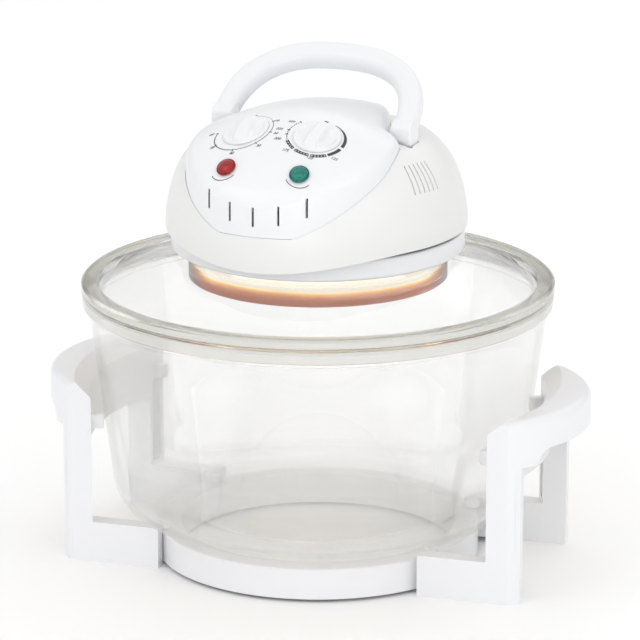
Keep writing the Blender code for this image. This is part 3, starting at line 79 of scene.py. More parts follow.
SCREW_HOLE_R = 1.7 * MM
BORE_R = 3.3 * MM
SHELL_WALL = 2.6 * MM
PIVOT = Vector((0, -7.5 * MM, 316.5 * MM))
BOSS_SPOTS = (radians(92), radians(180), radians(268))
BOSS_PITCH = 86 * MM
CROWN_Y = -25.6 * MM
CROWN_Z = 336 * MM
CROWN_R = 111.2 * MM
CROWN_FALL_R = 330 * MM
CROWN_CROSS_R = 150 * MM
PANEL_NOSE_Y = -117 * MM
PANEL_MID_Y = -49 * MM
PANEL_HALF = 75 * MM
PANEL_SHOULDER = 72.8 * MM
PANEL_SHOULDER_Y = -27 * MM
PANEL_NOTCH = 58 * MM
PANEL_NOTCH_Y = -16.5 * MM
PANEL_TAPER = 0.30
PANEL_TAIL_START = 12 * MM
PANEL_TAIL_Y = 78 * MM
PANEL_FOOT = 263.5 * MM
PANEL_CENTRE_Y = (PANEL_NOSE_Y + PANEL_TAIL_Y) / 2
DIAL_X = 27 * MM
DIAL_Y = -66.5 * MM
LENS_X = 27.3 * MM
LENS_Y = -99 * MM


# ---------------- mesh helpers

def linked(name, data):
    """A new object in the scene."""
    obj = bpy.data.objects.new(name, data)
    bpy.context.scene.collection.objects.link(obj)
    return obj


def changed(obj, kind, **settings):
    """Add a modifier with its settings."""
    modifier = obj.modifiers.new(kind.lower(), kind)
    for key, value in settings.items():
        setattr(modifier, key, value)
    return obj


def baked(obj, *helpers):
    """The mesh that an object's modifiers give. The object and its helpers are removed."""
    bpy.context.view_layer.update()
    mesh = bpy.data.meshes.new_from_object(obj.evaluated_get(bpy.context.evaluated_depsgraph_get()))
    name = obj.data.name
    for used in (obj, *helpers):
        bpy.data.objects.remove(used, do_unlink=True)
    if not mesh.polygons:
        raise RuntimeError(f"nothing is left of {name}")
    return mesh


def shaded(mesh):
    mesh.shade_smooth()
    mesh.set_sharp_from_angle(angle=CREASE)
    return mesh


def mesh_of(bm, name):
    """Close a bmesh into a mesh with its faces pointing out."""
    bmesh.ops.remove_doubles(bm, verts=bm.verts, dist=WELD)
    bmesh.ops.recalc_face_normals(bm, faces=bm.faces)
    mesh = bpy.data.meshes.new(name)
    bm.to_mesh(mesh)
    bm.free()
    return shaded(mesh)


def bmesh_of(*meshes):
    bm = bmesh.new()
    for mesh in meshes:
        bm.from_mesh(mesh)
    return bm


def piece(name, mesh, body, slot, *stands_for, look=None):
    """A finished piece at the origin that rides on a body. Its look is its slot's, unless one is named."""
    obj = linked(name, mesh)
    mesh.materials.clear()
    mesh.materials.append(finish(look or slot))
    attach(obj, body)
    if stands_for:
        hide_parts(*stands_for)
    return obj


def soft_edges(obj, width, segments=3, angle=38):
    """A small bevel along the crisp edges."""
    changed(obj, 'BEVEL', width=width, segments=segments, limit_method='ANGLE', angle_limit=radians(angle),
            harden_normals=True)


def eased(points, steps=5):
    """A profile of (radius, height, fillet in mm) corners with each corner rounded."""
    out = []
    count = len(points)
    for i, (r, z, fillet) in enumerate(points):
        here = Vector((r, z))
        if fillet <= 0:
            out.append(here)
            continue
        before = Vector(points[i - 1][:2]) - here
        after = Vector(points[(i + 1) % count][:2]) - here
        opening = before.angle(after)
        reach = min(fillet * MM / max(sin(opening / 2) / cos(opening / 2), 1e-6),
                    before.length * 0.49, after.length * 0.49)
        a = here + before.normalized() * reach
        b = here + after.normalized() * reach
        for k in range(steps + 1):
            t = k / steps
            out.append(a * (1 - t) ** 2 + here * 2 * t * (1 - t) + b * t ** 2)
    return out


def spun(name, profile, steps):
    """Turn a profile of (radius, height) points round Z. One that doesn't start and end on Z is closed."""
    bm = bmesh.new()
    verts = [bm.verts.new((p[0], 0, p[1])) for p in profile]
    edges = [bm.edges.new(pair) for pair in zip(verts, verts[1:])]
    if profile[0][0] or profile[-1][0]:
        edges.append(bm.edges.new((verts[-1], verts[0])))
    bmesh.ops.spin(bm, geom=verts + edges, cent=(0, 0, 0), axis=(0, 0, 1), angle=2 * pi, steps=steps,
                   use_merge=True)
    return mesh_of(bm, name)


def lofted(name, rings, cap_first=True):
    """Skin through closed rings of points, all with the same count. The last ring is capped."""
    bm = bmesh.new()
    loops = []
    for ring in rings:
        verts = [bm.verts.new(p) for p in ring]
        loops.append([bm.edges.new(pair) for pair in zip(verts, verts[1:] + verts[:1])])
    for low, high in zip(loops, loops[1:]):
        bmesh.ops.bridge_loops(bm, edges=low + high)
    for loop in (loops[0], loops[-1]) if cap_first else (loops[-1],):
        filled = bmesh.ops.edgeloop_fill(bm, edges=loop)
        bmesh.ops.poke(bm, faces=filled["faces"])
    return mesh_of(bm, name)


def extruded(bm, faces, height):
    """Raise flat faces into a solid."""
    raised = bmesh.ops.extrude_face_region(bm, geom=faces)["geom"]
    verts = [part for part in raised if isinstance(part, bmesh.types.BMVert)]
    bmesh.ops.translate(bm, verts=verts, vec=(0, 0, height))


def rounded(bm, edges, width, segments):
    bmesh.ops.bevel(bm, geom=edges, offset=width, segments=segments, profile=0.5, affect='EDGES', material=-1)


def prism(name, outline, low, high):
    """A flat outline raised between two heights."""
    bm = bmesh.new()
    extruded(bm, [bm.faces.new([bm.verts.new((x, y, low)) for x, y in outline])], high - low)
    return mesh_of(bm, name)


def block(name, size, centre=(0, 0, 0), rounding=0.0, segments=2):
    bm = bmesh.new()
    bmesh.ops.create_cube(bm, size=1, matrix=Matrix.Translation(centre) @ Matrix.Diagonal((*size, 1)))
    if rounding:
        rounded(bm, bm.edges[:], rounding, segments)
    return mesh_of(bm, name)


def rod(name, radius, low, high, steps, rounding=0.0):
    bm = bmesh.new()
    bmesh.ops.create_cone(bm, cap_ends=True, segments=steps, radius1=radius, radius2=radius, depth=high - low,
                          matrix=Matrix.Translation((0, 0, (low + high) / 2)))
    if rounding:
        rims = [e for e in bm.edges if abs(e.verts[0].co.z - e.verts[1].co.z) < WELD]
        rounded(bm, rims, rounding, 3)
    return mesh_of(bm, name)


def merged(name, meshes):
    bm = bmesh_of(*meshes)
    mesh = bpy.data.meshes.new(name)
    bm.to_mesh(mesh)
    bm.free()
    return shaded(mesh)


def combined(mesh, tools, operation='DIFFERENCE'):
    """Boolean a mesh with tool meshes, in their order."""
    body = linked("work", mesh)
    others = [linked("tool", tool) for tool in tools]
    for other in others:
        changed(body, 'BOOLEAN', object=other, operation=operation, solver='EXACT')
    return shaded(baked(body, *others))


def remeshed(mesh, voxel, passes):
    """Melt a mesh's parts into one soft skin."""
    body = changed(linked("work", mesh), 'REMESH', mode='VOXEL', voxel_size=voxel)
    result = baked(changed(body, 'SMOOTH', iterations=passes, factor=0.5))
    result.shade_smooth()
    return result


def walled(mesh):
    """Give an open skin the wall of a moulding, on its inner side."""
    shell = linked("shell", mesh)
    return baked(changed(shell, 'SOLIDIFY', thickness=SHELL_WALL, offset=-1, use_even_offset=True))


def mm(*lengths):
    return tuple(length * MM for length in lengths)


def placed(mesh, *moves):
    """Move a mesh by matrices, the first one first."""
    for move in moves:
        mesh.transform(move)
    return mesh


def shift(x, y, z):
    return Matrix.Translation((x, y, z))


def spin(axis, angle):
    return Matrix.Rotation(angle, 4, axis)


def arc(centre, radius, start, end, steps):
    return [(centre[0] + radius * cos(start + (end - start) * i / steps),
             centre[1] + radius * sin(start + (end - start) * i / steps)) for i in range(steps + 1)]


def quarter(steps):
    """Angles from 0 to 90 degrees."""
    return [pi / 2 * i / steps for i in range(steps + 1)]


def circle(count, start=0.0):
    """(cos, sin) pairs round a circle; start is a share of the step."""
    angles = [2 * pi * (k + start) / count for k in range(count)]
    return [(cos(angle), sin(angle)) for angle in angles]


def at_bosses(name, radius, low, high, steps):
    """Upright rods where the three housing screws go."""
    return [placed(rod(name, radius, low, high, steps), shift(*around(BOSS_PITCH, angle)))
            for angle in BOSS_SPOTS]


def on_pivot(mesh, side):
    """Lay an upright rod along the carry handle's axis, to one side of the head."""
    return placed(mesh, spin('Y', side * pi / 2), Matrix.Translation(PIVOT))


# ---------------- materials

class Nodes:
    """The node tree of a material or a world, with its main shader."""

    def __init__(self, owner, shader="Principled BSDF"):
        owner.use_nodes = True
        self.owner, self.tree = owner, owner.node_tree
        self.shader = self.tree.nodes[shader]

    def feed(self, node, inputs):
        """Link or set a node's inputs."""
        for key, value in inputs.items():
            if isinstance(value, bpy.types.NodeSocket):
                self.tree.links.new(value, node.inputs[key])
            else:
                node.inputs[key].default_value = value

    def shade(self, inputs):
        """Feed the main shader and give back its owner."""
        self.feed(self.shader, inputs)
        return self.owner

    def node(self, kind, inputs, out=0, **settings):
        """Add a node and give back one of its outputs."""
        made = self.tree.nodes.new("ShaderNode" + kind)
        for key, value in settings.items():
            setattr(made, key, value)
        self.feed(made, inputs)
        return made.outputs[out]

    def math(self, operation, *values):
        return self.node("Math", dict(enumerate(values)), operation=operation)

    def vector(self, operation, out, *values):
        return self.node("VectorMath", dict(enumerate(values)), out, operation=operation)

    def place(self, out="Object"):
        return self.node("TexCoord", {}, out)

    def height(self, out="Object"):
        """The Z of a place."""
        return self.node("SeparateXYZ", {"Vector": self.place(out)}, "Z")

    def spread(self, value, start, end, low=0.0, high=1.0, **settings):
        """Map a value from one range to another."""
        return self.node("MapRange", {"Value": value, "From Min": start, "From Max": end, "To Min": low,
                                      "To Max": high}, "Result", **settings)

    def noise(self, scale, detail=3.0, stretch=(1, 1, 1)):
        spot = self.node("Mapping", {"Vector": self.place(), "Scale": stretch}, "Vector")
        return self.node("TexNoise", {"Vector": spot, "Scale": scale, "Detail": detail}, "Fac")

    def vary(self, texture, low, high):
        """Spread a texture's middle range between two values."""
        return self.spread(texture, 0.3, 0.7, low, high)

    def ramp(self, value, *stops):
        """A colour ramp through (position, colour) stops."""
        made = self.tree.nodes.new("ShaderNodeValToRGB")
        elements = made.color_ramp.elements
        while len(elements) < len(stops):
            elements.new(0.5)
        for element, (spot, colour) in zip(elements, stops):
            element.position = spot
            element.color = (*colour, 1)
        self.feed(made, {"Fac": value})
        return made.outputs["Color"]

    def two_tone(self, texture, dark, light):
        return self.ramp(texture, (0.25, dark), (0.75, light))

    def mix(self, share, first, second):
        """Blend two colours."""
        return self.node("Mix", {0: share, 6: first, 7: second}, 2, data_type='RGBA')

    def bump(self, texture, strength, distance):
        return self.node("Bump", {"Strength": strength, "Distance": distance, "Height": texture}, "Normal")


def material(name):
    return Nodes(bpy.data.materials.new(name))


def moulded(name, colour, rough=(0.285, 0.30), grain=0.04, sheen=0.0):
    """Moulded plastic: faint cloudiness, a fine satin grain and uneven gloss."""
    made = material(name)
    cloudy = [c * 0.997 for c in colour]
    return made.shade({
        "Base Color": made.two_tone(made.noise(9, 2), cloudy, colour),
        "Roughness": made.vary(made.noise(24, 2), *rough),
        "Normal": made.bump(made.noise(420, 1), grain, 0.01 * MM),
        "Specular IOR Level": 0.5, "Coat Weight": sheen, "Coat Roughness": 0.12})


def brushed(name, colour, rough=(0.18, 0.34), stretch=(1, 1, 60), grain=0.10):
    """Metal with a directional grain."""
    made = material(name)
    lines = made.noise(40, 4, stretch)
    return made.shade({
        "Base Color": made.two_tone(lines, [c * 0.86 for c in colour], colour),
        "Roughness": made.vary(lines, *rough),
        "Normal": made.bump(lines, grain, 0.05 * MM), "Metallic": 1.0})


def clear_glass(name, tint, rim_tint_and_shade, rim_from, see_through, depth_tint, density):
    """Tempered glass: clear in the wall; the thick rim darker and browner, its own faint tint with painted
    shade for the dark refractions it shows.
    """
    made = material(name)
    flat = made.vector('MULTIPLY', "Vector", made.place(), (1, 1, 0))
    rim = made.spread(made.vector('LENGTH', "Value", flat), rim_from, rim_from + 2 * MM)
    soak = made.node("VolumeAbsorption", {"Color": (*depth_tint, 1), "Density": density})
    made.feed(made.tree.nodes["Material Output"], {"Volume": soak})
    return made.shade({
        # Painted shade: the rim's colour darkened for the refractions in its thick glass, on top of its faint
        # tint.
        "Base Color": made.mix(rim, (*tint, 1), (*rim_tint_and_shade, 1)),
        "Alpha": made.spread(rim, 0, 1, see_through, 0.95),
        "Roughness": made.vary(made.noise(9, 2, (1, 1, 0.5)), 0.0, 0.008),
        "Normal": made.bump(made.noise(14, 2), 0.03, 0.1 * MM),
        "Transmission Weight": 1.0, "Specular IOR Level": 0.35, "IOR": 1.47})


def jewel(name, colour, deep_colour):
    """Clear coloured lens."""
    made = material(name)
    swirl = made.noise(420, 3)
    return made.shade({
        "Base Color": made.two_tone(swirl, deep_colour, colour),
        "Roughness": made.vary(swirl, 0.03, 0.10),
        "Normal": made.bump(made.noise(700, 2), 0.15, 0.2 * MM),
        "Transmission Weight": 0.35, "IOR": 1.49, "Specular IOR Level": 0.3,
        "Coat Weight": 0.35, "Coat Roughness": 0.03})


def lit_steel(name, low, high, radius, strength):
    """Steel shroud with the lamp's light painted on as emission: a painted bright band under the lid ring,
    painted brown light below, and painted shade on darkened steel at the sides.
    """
    made = material(name)
    rise = made.spread(made.height(), low, high)
    waver = made.math('MULTIPLY_ADD', made.noise(22, 3, (1, 1, 0.15)), 0.14, rise)
    # A fixed direction: the collar is painted lit where it faces along it, and in painted shade at its sides
    # across it.
    view = radians(17.5)
    facing = made.vector('DOT_PRODUCT', "Value", made.place(), (sin(view) / radius, -cos(view) / radius, 0))
    middle = made.spread(made.math('ABSOLUTE', facing), 0.10, 0.62, interpolation_type='SMOOTHSTEP')
    side_shade = 0.42
    # Painted light: the lamp's light by height, fading into painted shade at the sides.
    heat = made.math('SUBTRACT', made.math('MULTIPLY_ADD', middle, side_shade, waver), side_shade)
    glow = made.ramp(heat, (0.05, (0.20, 0.020, 0.008)), (0.12, (0.30, 0.065, 0.022)),
                     (0.30, (0.36, 0.095, 0.030)), (0.48, (0.50, 0.15, 0.045)), (0.60, (0.84, 0.36, 0.09)),
                     (0.68, (1.0, 0.70, 0.22)), (0.76, (1.0, 0.98, 0.86)))
    # Painted shade: dark steel colour where the painted light fades at the sides.
    shaded_steel = made.two_tone(made.noise(40, 3, (1, 1, 40)), (0.09, 0.07, 0.06), (0.17, 0.14, 0.13))
    return made.shade({
        "Emission Color": made.mix(middle, (0.02, 0.012, 0.01, 1), glow), "Emission Strength": strength,
        "Base Color": made.mix(middle, shaded_steel, (0.03, 0.015, 0.01, 1)),
        "Roughness": made.vary(made.noise(30, 3, (1, 1, 30)), 0.25, 0.4), "Metallic": 0.7})


def glowing(name, colour, strength, base):
    made = material(name)
    return made.shade({
        "Base Color": made.two_tone(made.noise(60, 3), base, [min(1, c * 1.15) for c in base]),
        "Emission Color": (*colour, 1), "Emission Strength": strength, "Roughness": 0.2})


def ink(name, colour):
    made = material(name)
    return made.shade({
        "Base Color": made.two_tone(made.noise(900, 2), colour, [c + 0.03 for c in colour]),
        "Roughness": 0.55})


FINISHES = {}


def finish(name):
    """A material by its name in the table. The first call makes them all."""
    if not FINISHES:
        FINISHES.update(make_finishes(bpy.context.scene.oven))
    return FINISHES[name]


def make_finishes(settings):
    # How high the painted lamp light on the collar reaches.
    lit_height = 0.90 * (RING_LOW.z - 3.4 * MM - COLLAR_LOW.z)
    return {
        "white_plastic": moulded("white moulding", tuple(settings.plastic_colour), sheen=0.15),
        "housing_plastic": moulded("housing moulding", tuple(settings.housing_colour), rough=(0.33, 0.35),
                                   sheen=0.10),
        # Each glass's second colour is its rim's tint with painted shade for the rim's dark refractions.
        "clear_glass": clear_glass("bowl glass", (0.985, 0.985, 0.99), (0.62, 0.61, 0.56),
                                   BOWL_HIGH.x - 4.4 * MM, 0.24, (0.66, 0.68, 0.62), settings.glass_depth),
        "lid_glass": clear_glass("lid glass", (0.985, 0.985, 0.985), (0.58, 0.57, 0.51),
                                 LID_HIGH.x - 13.5 * MM, 0.18, (0.66, 0.66, 0.60), settings.glass_depth),
        "chromed_wire": brushed("chromed wire", (0.86, 0.86, 0.88), (0.08, 0.16), (1, 1, 1), 0.02),
        "polished_steel": brushed("sheet steel", (0.74, 0.73, 0.72)),
        "lit_steel": lit_steel("lit steel", COLLAR_LOW.z, COLLAR_LOW.z + lit_height, COLLAR_R, settings.glow),
        "aluminium": brushed("pressed aluminium", (0.78, 0.79, 0.80), (0.3, 0.45)),
        "motor_iron": brushed("iron sheets", (0.22, 0.22, 0.24), (0.4, 0.6), (1, 1, 900), 0.5),
        "coil_wire": brushed("copper winding", (0.65, 0.27, 0.11), (0.3, 0.45), (1, 1, 700), 0.6),
        "bronze_bush": brushed("bronze", (0.62, 0.45, 0.20), (0.35, 0.5)),
        "quartz_tube": glowing("lit quartz", (1.0, 0.62, 0.22), settings.glow * 3, (0.9, 0.75, 0.5)),
        "lamp_ceramic": moulded("ceramic", (0.82, 0.78, 0.70), (0.5, 0.7), 0.3),
        "silicone": moulded("silicone", (0.62, 0.62, 0.62), (0.5, 0.7), 0.2),
        "pad_silicone": moulded("clear pad silicone", (0.80, 0.81, 0.81), (0.3, 0.5), 0.1),
        "black_nylon": moulded("black nylon", (0.03, 0.03, 0.03), (0.4, 0.55), 0.3),
        "red_lens": jewel("red lens", (0.50, 0.010, 0.012), (0.30, 0.004, 0.006)),
        "green_lens": jewel("green lens", (0.006, 0.34, 0.28), (0.002, 0.13, 0.11)),
        "print": ink("printing ink", (0.03, 0.03, 0.035)),
        # Painted shadow: a near-black colour for the strips that stand for the shade inside the panel's
        # slots.
        "painted_slot_shadow": ink("slot shadow", (0.008, 0.008, 0.008)),
    }


# ---------------- shapes of the head

def crown(x, y):
    if y < CROWN_Y:
        along = CROWN_Z - CROWN_R + sqrt(max(CROWN_R ** 2 - (y - CROWN_Y) ** 2, 0))
    else:
        along = CROWN_Z - CROWN_FALL_R + sqrt(CROWN_FALL_R ** 2 - (y - CROWN_Y) ** 2)
    return along - x * x / (2 * CROWN_CROSS_R)


def crown_frame(x, y):
    """Matrix that sets a piece on the crown, its Z square to the skin."""
    slope_y = -(y - CROWN_Y) / sqrt(CROWN_R ** 2 - (y - CROWN_Y) ** 2)
    slope_x = -x / CROWN_CROSS_R
    normal = Vector((-slope_x, -slope_y, 1)).normalized()
    across = Vector((1, 0, slope_x)).normalized()
    turn = Matrix((across, normal.cross(across), normal)).transposed().to_4x4()
    return Matrix.Translation((x, y, crown(x, y))) @ turn


def panel_half_width(y):
    """Half width behind the widest place, with the notch for the handle."""
    if y < PANEL_SHOULDER_Y:
        ease = (y - PANEL_MID_Y) / (PANEL_SHOULDER_Y - PANEL_MID_Y)
        return PANEL_HALF - (PANEL_HALF - PANEL_SHOULDER) * ease ** 2
    if y < PANEL_NOTCH_Y:
        ease = (y - PANEL_SHOULDER_Y) / (PANEL_NOTCH_Y - PANEL_SHOULDER_Y)
        return PANEL_SHOULDER - (PANEL_SHOULDER - PANEL_NOTCH) * sin(pi / 2 * ease) ** 2
    wide = PANEL_NOTCH - PANEL_TAPER * (y - PANEL_NOTCH_Y)
    u = max(0, (y - PANEL_TAIL_START) / (PANEL_TAIL_Y - PANEL_TAIL_START))
    return wide * (1 - min(1, u) ** 3) ** 0.5


def panel_outline():
    half = [(PANEL_HALF * sin(t), PANEL_MID_Y - (PANEL_MID_Y - PANEL_NOSE_Y) * cos(t))
            for t in quarter(36)]
    stations = [PANEL_MID_Y + (PANEL_SHOULDER_Y - PANEL_MID_Y) * k / 8 for k in range(1, 8)]
    stations += [PANEL_SHOULDER_Y + (PANEL_NOTCH_Y - PANEL_SHOULDER_Y) * k / 12 for k in range(13)]
    stations += [PANEL_NOTCH_Y + (PANEL_TAIL_Y - PANEL_NOTCH_Y) * sin(pi / 2 * k / 26) for k in range(1, 26)]
    half += [(panel_half_width(y), y) for y in stations]
    half.append((0, PANEL_TAIL_Y))
    return half + [(-x, y) for x, y in reversed(half[1:-1])]


def panel_ring(outline, depth, drop, flat=None):
    """The outline drawn in by a depth, at a drop below the crown or at a flat height."""
    ring = []
    for x, y in outline:
        share = 1 - depth / hypot(x, y - PANEL_CENTRE_Y)
        px, py = x * share, PANEL_CENTRE_Y + (y - PANEL_CENTRE_Y) * share
        ring.append((px, py, crown(px, py) - drop if flat is None else flat))
    return ring


DOME_SHAPE = [(r * MM, z * MM) for r, z in (
    (107, 252), (106.5, 260), (103.5, 276), (98.5, 290), (92, 300), (84.5, 308), (76, 313), (60, 315),
    (40, 315.6))]
DOME_FRONT_STRETCH = 1.10


def smooth_through(points, per_gap):
    """Catmull-Rom points through a profile."""
    out = []
    ends = [points[0]] + list(points) + [points[-1]]
    for a, b, c, d in zip(ends, ends[1:], ends[2:], ends[3:]):
        for k in range(per_gap):
            t = k / per_gap
            out.append(tuple(0.5 * ((2 * q) + (-p + r) * t + (2 * p - 5 * q + 4 * r - s) * t ** 2
                                    + (-p + 3 * q - 3 * r + s) * t ** 3) for p, q, r, s in zip(a, b, c, d)))
    out.append(points[-1])
    return out


def around(radius, angle, z=0.0):
    return (radius * sin(angle), -radius * cos(angle), z)


def skirt_height(angle):
    """The dome's lower edge, which dips at the front."""
    off = abs((angle + pi) % (2 * pi) - pi)
    share = max(0, 1 - off / radians(62))
    return (248 - 10 * sin(pi / 2 * share) ** 2) * MM


def dome_ring(radius, height, sides=144):
    ring = []
    for i in range(sides):
        angle = 2 * pi * i / sides
        x, y, _ = around(radius, angle)
        z = height(angle) if callable(height) else height
        ring.append((x, y * DOME_FRONT_STRETCH if y < 0 else y, z))
    return ring


# ---------------- settings

class OvenSettings(bpy.types.PropertyGroup):
    plastic_colour: bpy.props.FloatVectorProperty(
        name="White plastic", description="Colour of the stand, panel, knobs and handle", subtype='COLOR',
        size=3, min=0, max=1, default=(0.82, 0.825, 0.845))
    housing_colour: bpy.props.FloatVectorProperty(
        name="Housing plastic", description="Colour of the domed housing", subtype='COLOR',
        size=3, min=0, max=1, default=(0.795, 0.795, 0.79))
    glass_depth: bpy.props.FloatProperty(
        name="Glass depth tint", description="How strongly thick glass is tinted",
        min=0, max=60, default=6.5)
    # Sets the quartz lamp's glow and the strength of the lamp light painted on the steel collar and reflector
    # plate.
    glow: bpy.props.FloatProperty(
        name="Heater glow", description="Brightness of the lamp and of the lit steel collar",
        min=0, max=20, default=1.1)
    edge_softness: bpy.props.FloatProperty(
        name="Edge softness", description="Rounding on crisp moulded edges", subtype='DISTANCE',
        unit='LENGTH', min=0, max=0.002, default=0.0006)
    print_lift: bpy.props.FloatProperty(
        name="Print lift", description="How far the dial printing stands off the panel", subtype='DISTANCE',
        unit='LENGTH', min=0, max=0.001, default=0.00006)
    lens_scale: bpy.props.FloatProperty(
        name="Lens scale", description="Size of the indicator lenses", min=0.8, max=1.1, default=1.07)


# ---------------- stand

FRAME_END = 76 * MM
POST = 13 * MM
POST_OUT = 170.5 * MM
INNER_R = 165.5 * MM
ARM_FROM = 97 * MM
ARM_TOP = 30 * MM
GRIP_X = 101 * MM
GRIP_R = 99 * MM
GRIP_TOP = 134 * MM
GRIP_WALL = 3.5 * MM
GRIP_ROUNDING = 5.5 * MM
FUNNEL_R = 176 * MM
FUNNEL_DEPTH = 10.5 * MM
WINDOW_TOP = 84 * MM
RELIEF_TOP = 111 * MM
ARM_WALL = 2.8 * MM
SCREW_X = 116.5 * MM
SCREW_Z = 13 * MM


def bowl_radius(z):
    """The bowl's outer radius above its rounded foot."""
    return BOWL_BASE_R + BOWL_CORNER_R + BOWL_SLOPE * (z - BOWL_LOW.z - BOWL_CORNER_R)


def stand_screw_hole(low, high, end, x, y):
    """A hole along Y that opens to the rear, or to the front with end -1."""
    hole = placed(rod("hole", SCREW_HOLE_R, low, high, 24), spin('X', -pi / 2))
    if end < 0:
        hole.transform(spin('Z', pi))
    return placed(hole, shift(x, y, SCREW_Z))


def doorway(half, high, foot, radius, near):
    """A cutter along X with rounded upper corners, and a wider foot where one is asked for."""
    right = arc((half - radius, high - radius), radius, 0, pi / 2, 8)
    left = [(-y, z) for y, z in reversed(right)]
    legs = [(foot, -OVER), (foot, 100 * MM)] if foot > half else [(half, -OVER)]
    shape = legs + right + left + [(-y, z) for y, z in reversed(legs)]
    return placed(prism("door", shape, near, 240 * MM),
                  Matrix(((0, 0, 1, 0), (1, 0, 0, 0), (0, 1, 0, 0), (0, 0, 0, 1))))


def frame_mesh(side):
    """One side of the stand: two arms, two posts and the bowed grip, hollowed as a moulding is."""
    corner_r = 8 * MM
    centre_y = FRAME_END - corner_r
    corner_x = GRIP_X + sqrt((GRIP_R - corner_r) ** 2 - centre_y ** 2)
    meet = atan2(centre_y, corner_x - GRIP_X)
    outline = [(ARM_FROM, -FRAME_END)]
    outline += arc((corner_x, -centre_y), corner_r, -pi / 2, -meet, 8)
    outline += arc((GRIP_X, 0), GRIP_R, -meet, meet, 48)[1:-1]
    outline += arc((corner_x, centre_y), corner_r, meet, pi / 2, 8)
    outline.append((ARM_FROM, FRAME_END))
    bm = bmesh_of(prism("frame", outline, 0, GRIP_TOP))
    top = [e for e in bm.edges if all(v.co.z > GRIP_TOP - WELD for v in e.verts) and len(e.link_faces) == 2
           and e.calc_face_angle(0) > 1 and max(v.co.x for v in e.verts) > ARM_FROM + WELD]
    rounded(bm, top, GRIP_ROUNDING, 6)
    solid = mesh_of(bm, "frame")

    inside = FRAME_END - POST
    bowl_room = rod("room", INNER_R, ARM_TOP, GRIP_TOP + OVER, 192)
    window = doorway(inside, WINDOW_TOP, inside, 7 * MM, ARM_FROM - OVER)
    relief = doorway(inside - GRIP_WALL, RELIEF_TOP, FRAME_END + OVER, 11 * MM, POST_OUT)
    inner_r = INNER_R + GRIP_WALL
    outer_r = GRIP_R - GRIP_WALL
    a, b = asin(inside / inner_r), asin(inside / outer_r)
    hollow = prism("hollow", arc((0, 0), inner_r, a, -a, 32) + arc((GRIP_X, 0), outer_r, -b, b, 40),
                   80 * MM, GRIP_TOP - GRIP_WALL)

    def funnel(name, skin):
        foot = GRIP_TOP - FUNNEL_DEPTH - OVER - skin
        return spun(name, [(0, foot), (INNER_R - OVER, foot), (FUNNEL_R + OVER + skin, GRIP_TOP + OVER),
                           (0, GRIP_TOP + OVER)], 192)

    hollow = combined(hollow, [funnel("roof", GRIP_WALL * sqrt(2))])
    result = combined(solid, [bowl_room, window, relief, hollow, funnel("funnel", 0)])

    lug_z, lug_h, lug_w, sunk = mm(99.5, 10.5, 7, 5.6)
    reach = INNER_R - bowl_radius(lug_z + lug_h) - GAP
    post_y = FRAME_END - POST / 2
    angle = asin(post_y / INNER_R)
    arm_mid = (ARM_TOP - ARM_WALL - OVER) / 2
    deep, shallow = POST_OUT - ARM_WALL, INNER_R * cos(angle) - POST
    arm_end = POST_OUT - POST
    cuts = []
    for end in (-1, 1):
        lug = block("lug", (reach + sunk, lug_w, lug_h),
                    (INNER_R - reach / 2 + sunk / 2, 0, lug_z + lug_h / 2), 0.8 * MM, 3)
        result = combined(result, [placed(lug, spin('Z', angle * end))], 'UNION')
        cuts.append(block("channel", (deep - shallow, POST - ARM_WALL * 2, lug_z - ARM_TOP - ARM_WALL * 2),
                          ((deep + shallow) / 2, end * post_y, (lug_z + ARM_TOP) / 2)))
        cuts.append(block("arm channel", (arm_end - ARM_FROM - ARM_WALL, POST - ARM_WALL * 2,
                                          ARM_TOP - ARM_WALL + OVER),
                          ((arm_end + ARM_FROM + ARM_WALL) / 2, end * post_y, arm_mid)))
        cuts.append(stand_screw_hole(-OVER, ARM_WALL + OVER, end, SCREW_X, end * inside))
    cuts.append(rod("ring room", 117.3 * MM, -OVER, ARM_TOP - ARM_WALL, 192))
    result = combined(result, cuts)
    if side < 0:
        bm = bmesh_of(result)
        bmesh.ops.scale(bm, vec=(-1, 1, 1), verts=bm.verts)
        bmesh.ops.reverse_faces(bm, faces=bm.faces)
        bm.to_mesh(result)
        bm.free()
    return shaded(result)


class OVEN_OT_stand(bpy.types.Operator):
    """Side frames, base ring and pads, with the screw holes"""
    bl_idname = "oven.stand"
    bl_label = "Stand"

    def execute(self, context):
        for hand, side in (("left", -1), ("right", 1)):
            obj = piece(f"side_frame_{hand}", frame_mesh(side), "stand", "white_plastic",
                        f"handle_frame_{hand}")
            soft_edges(obj, context.scene.oven.edge_softness)
        low, high = BASE_LOW.z, BASE_HIGH.z
        outer, inner, wall = mm(117, 100, 3)
        ring = spun("ring", eased([
            (outer, low, 0.4), (outer, high, 1.6), (inner, high, 1.6), (inner, low, 0.4),
            (inner + wall, low, 0.4), (inner + wall, high - wall, 0.8),
            (outer - wall, high - wall, 0.8), (outer - wall, low, 0.4)], 4), 192)
        ears, holes = [], []
        far = FRAME_END - POST - GAP
        for side in (-1, 1):
            for end in (-1, 1):
                ears.append(block("ear", mm(31, 13, 19.5),
                                  (side * 108.5 * MM, end * (far - 6.5 * MM), 13.75 * MM), 0.8 * MM, 3))
                holes.append(stand_screw_hole(-6 * MM, 20 * MM, end, side * SCREW_X, end * (far - 13 * MM)))
        ring = combined(combined(ring, ears, 'UNION'), holes)
        piece("foot_ring", ring, "stand", "white_plastic", "base_ring")
        for spot in ("front_left", "front_right", "rear_left", "rear_right"):
            node = f"bowl_pad_{spot}"
            low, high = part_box(node)
            flange, stub = mm(6.5, 5)
            pad = spun("pad", eased([
                (0, low.z, 0), (flange, low.z, 0), (flange, low.z + 3.2 * MM, 0.8),
                (stub, low.z + 4.4 * MM, 0.4), (stub, high.z, 1.1), (0, high.z, 0)], 4), 48)
            middle = (low + high) / 2
            pad = placed(pad, shift(middle.x, middle.y, 0))
            piece(f"pad_{spot}", pad, "stand", "silicone", node, look="pad_silicone")
        return {'FINISHED'}


# ---------------- glass

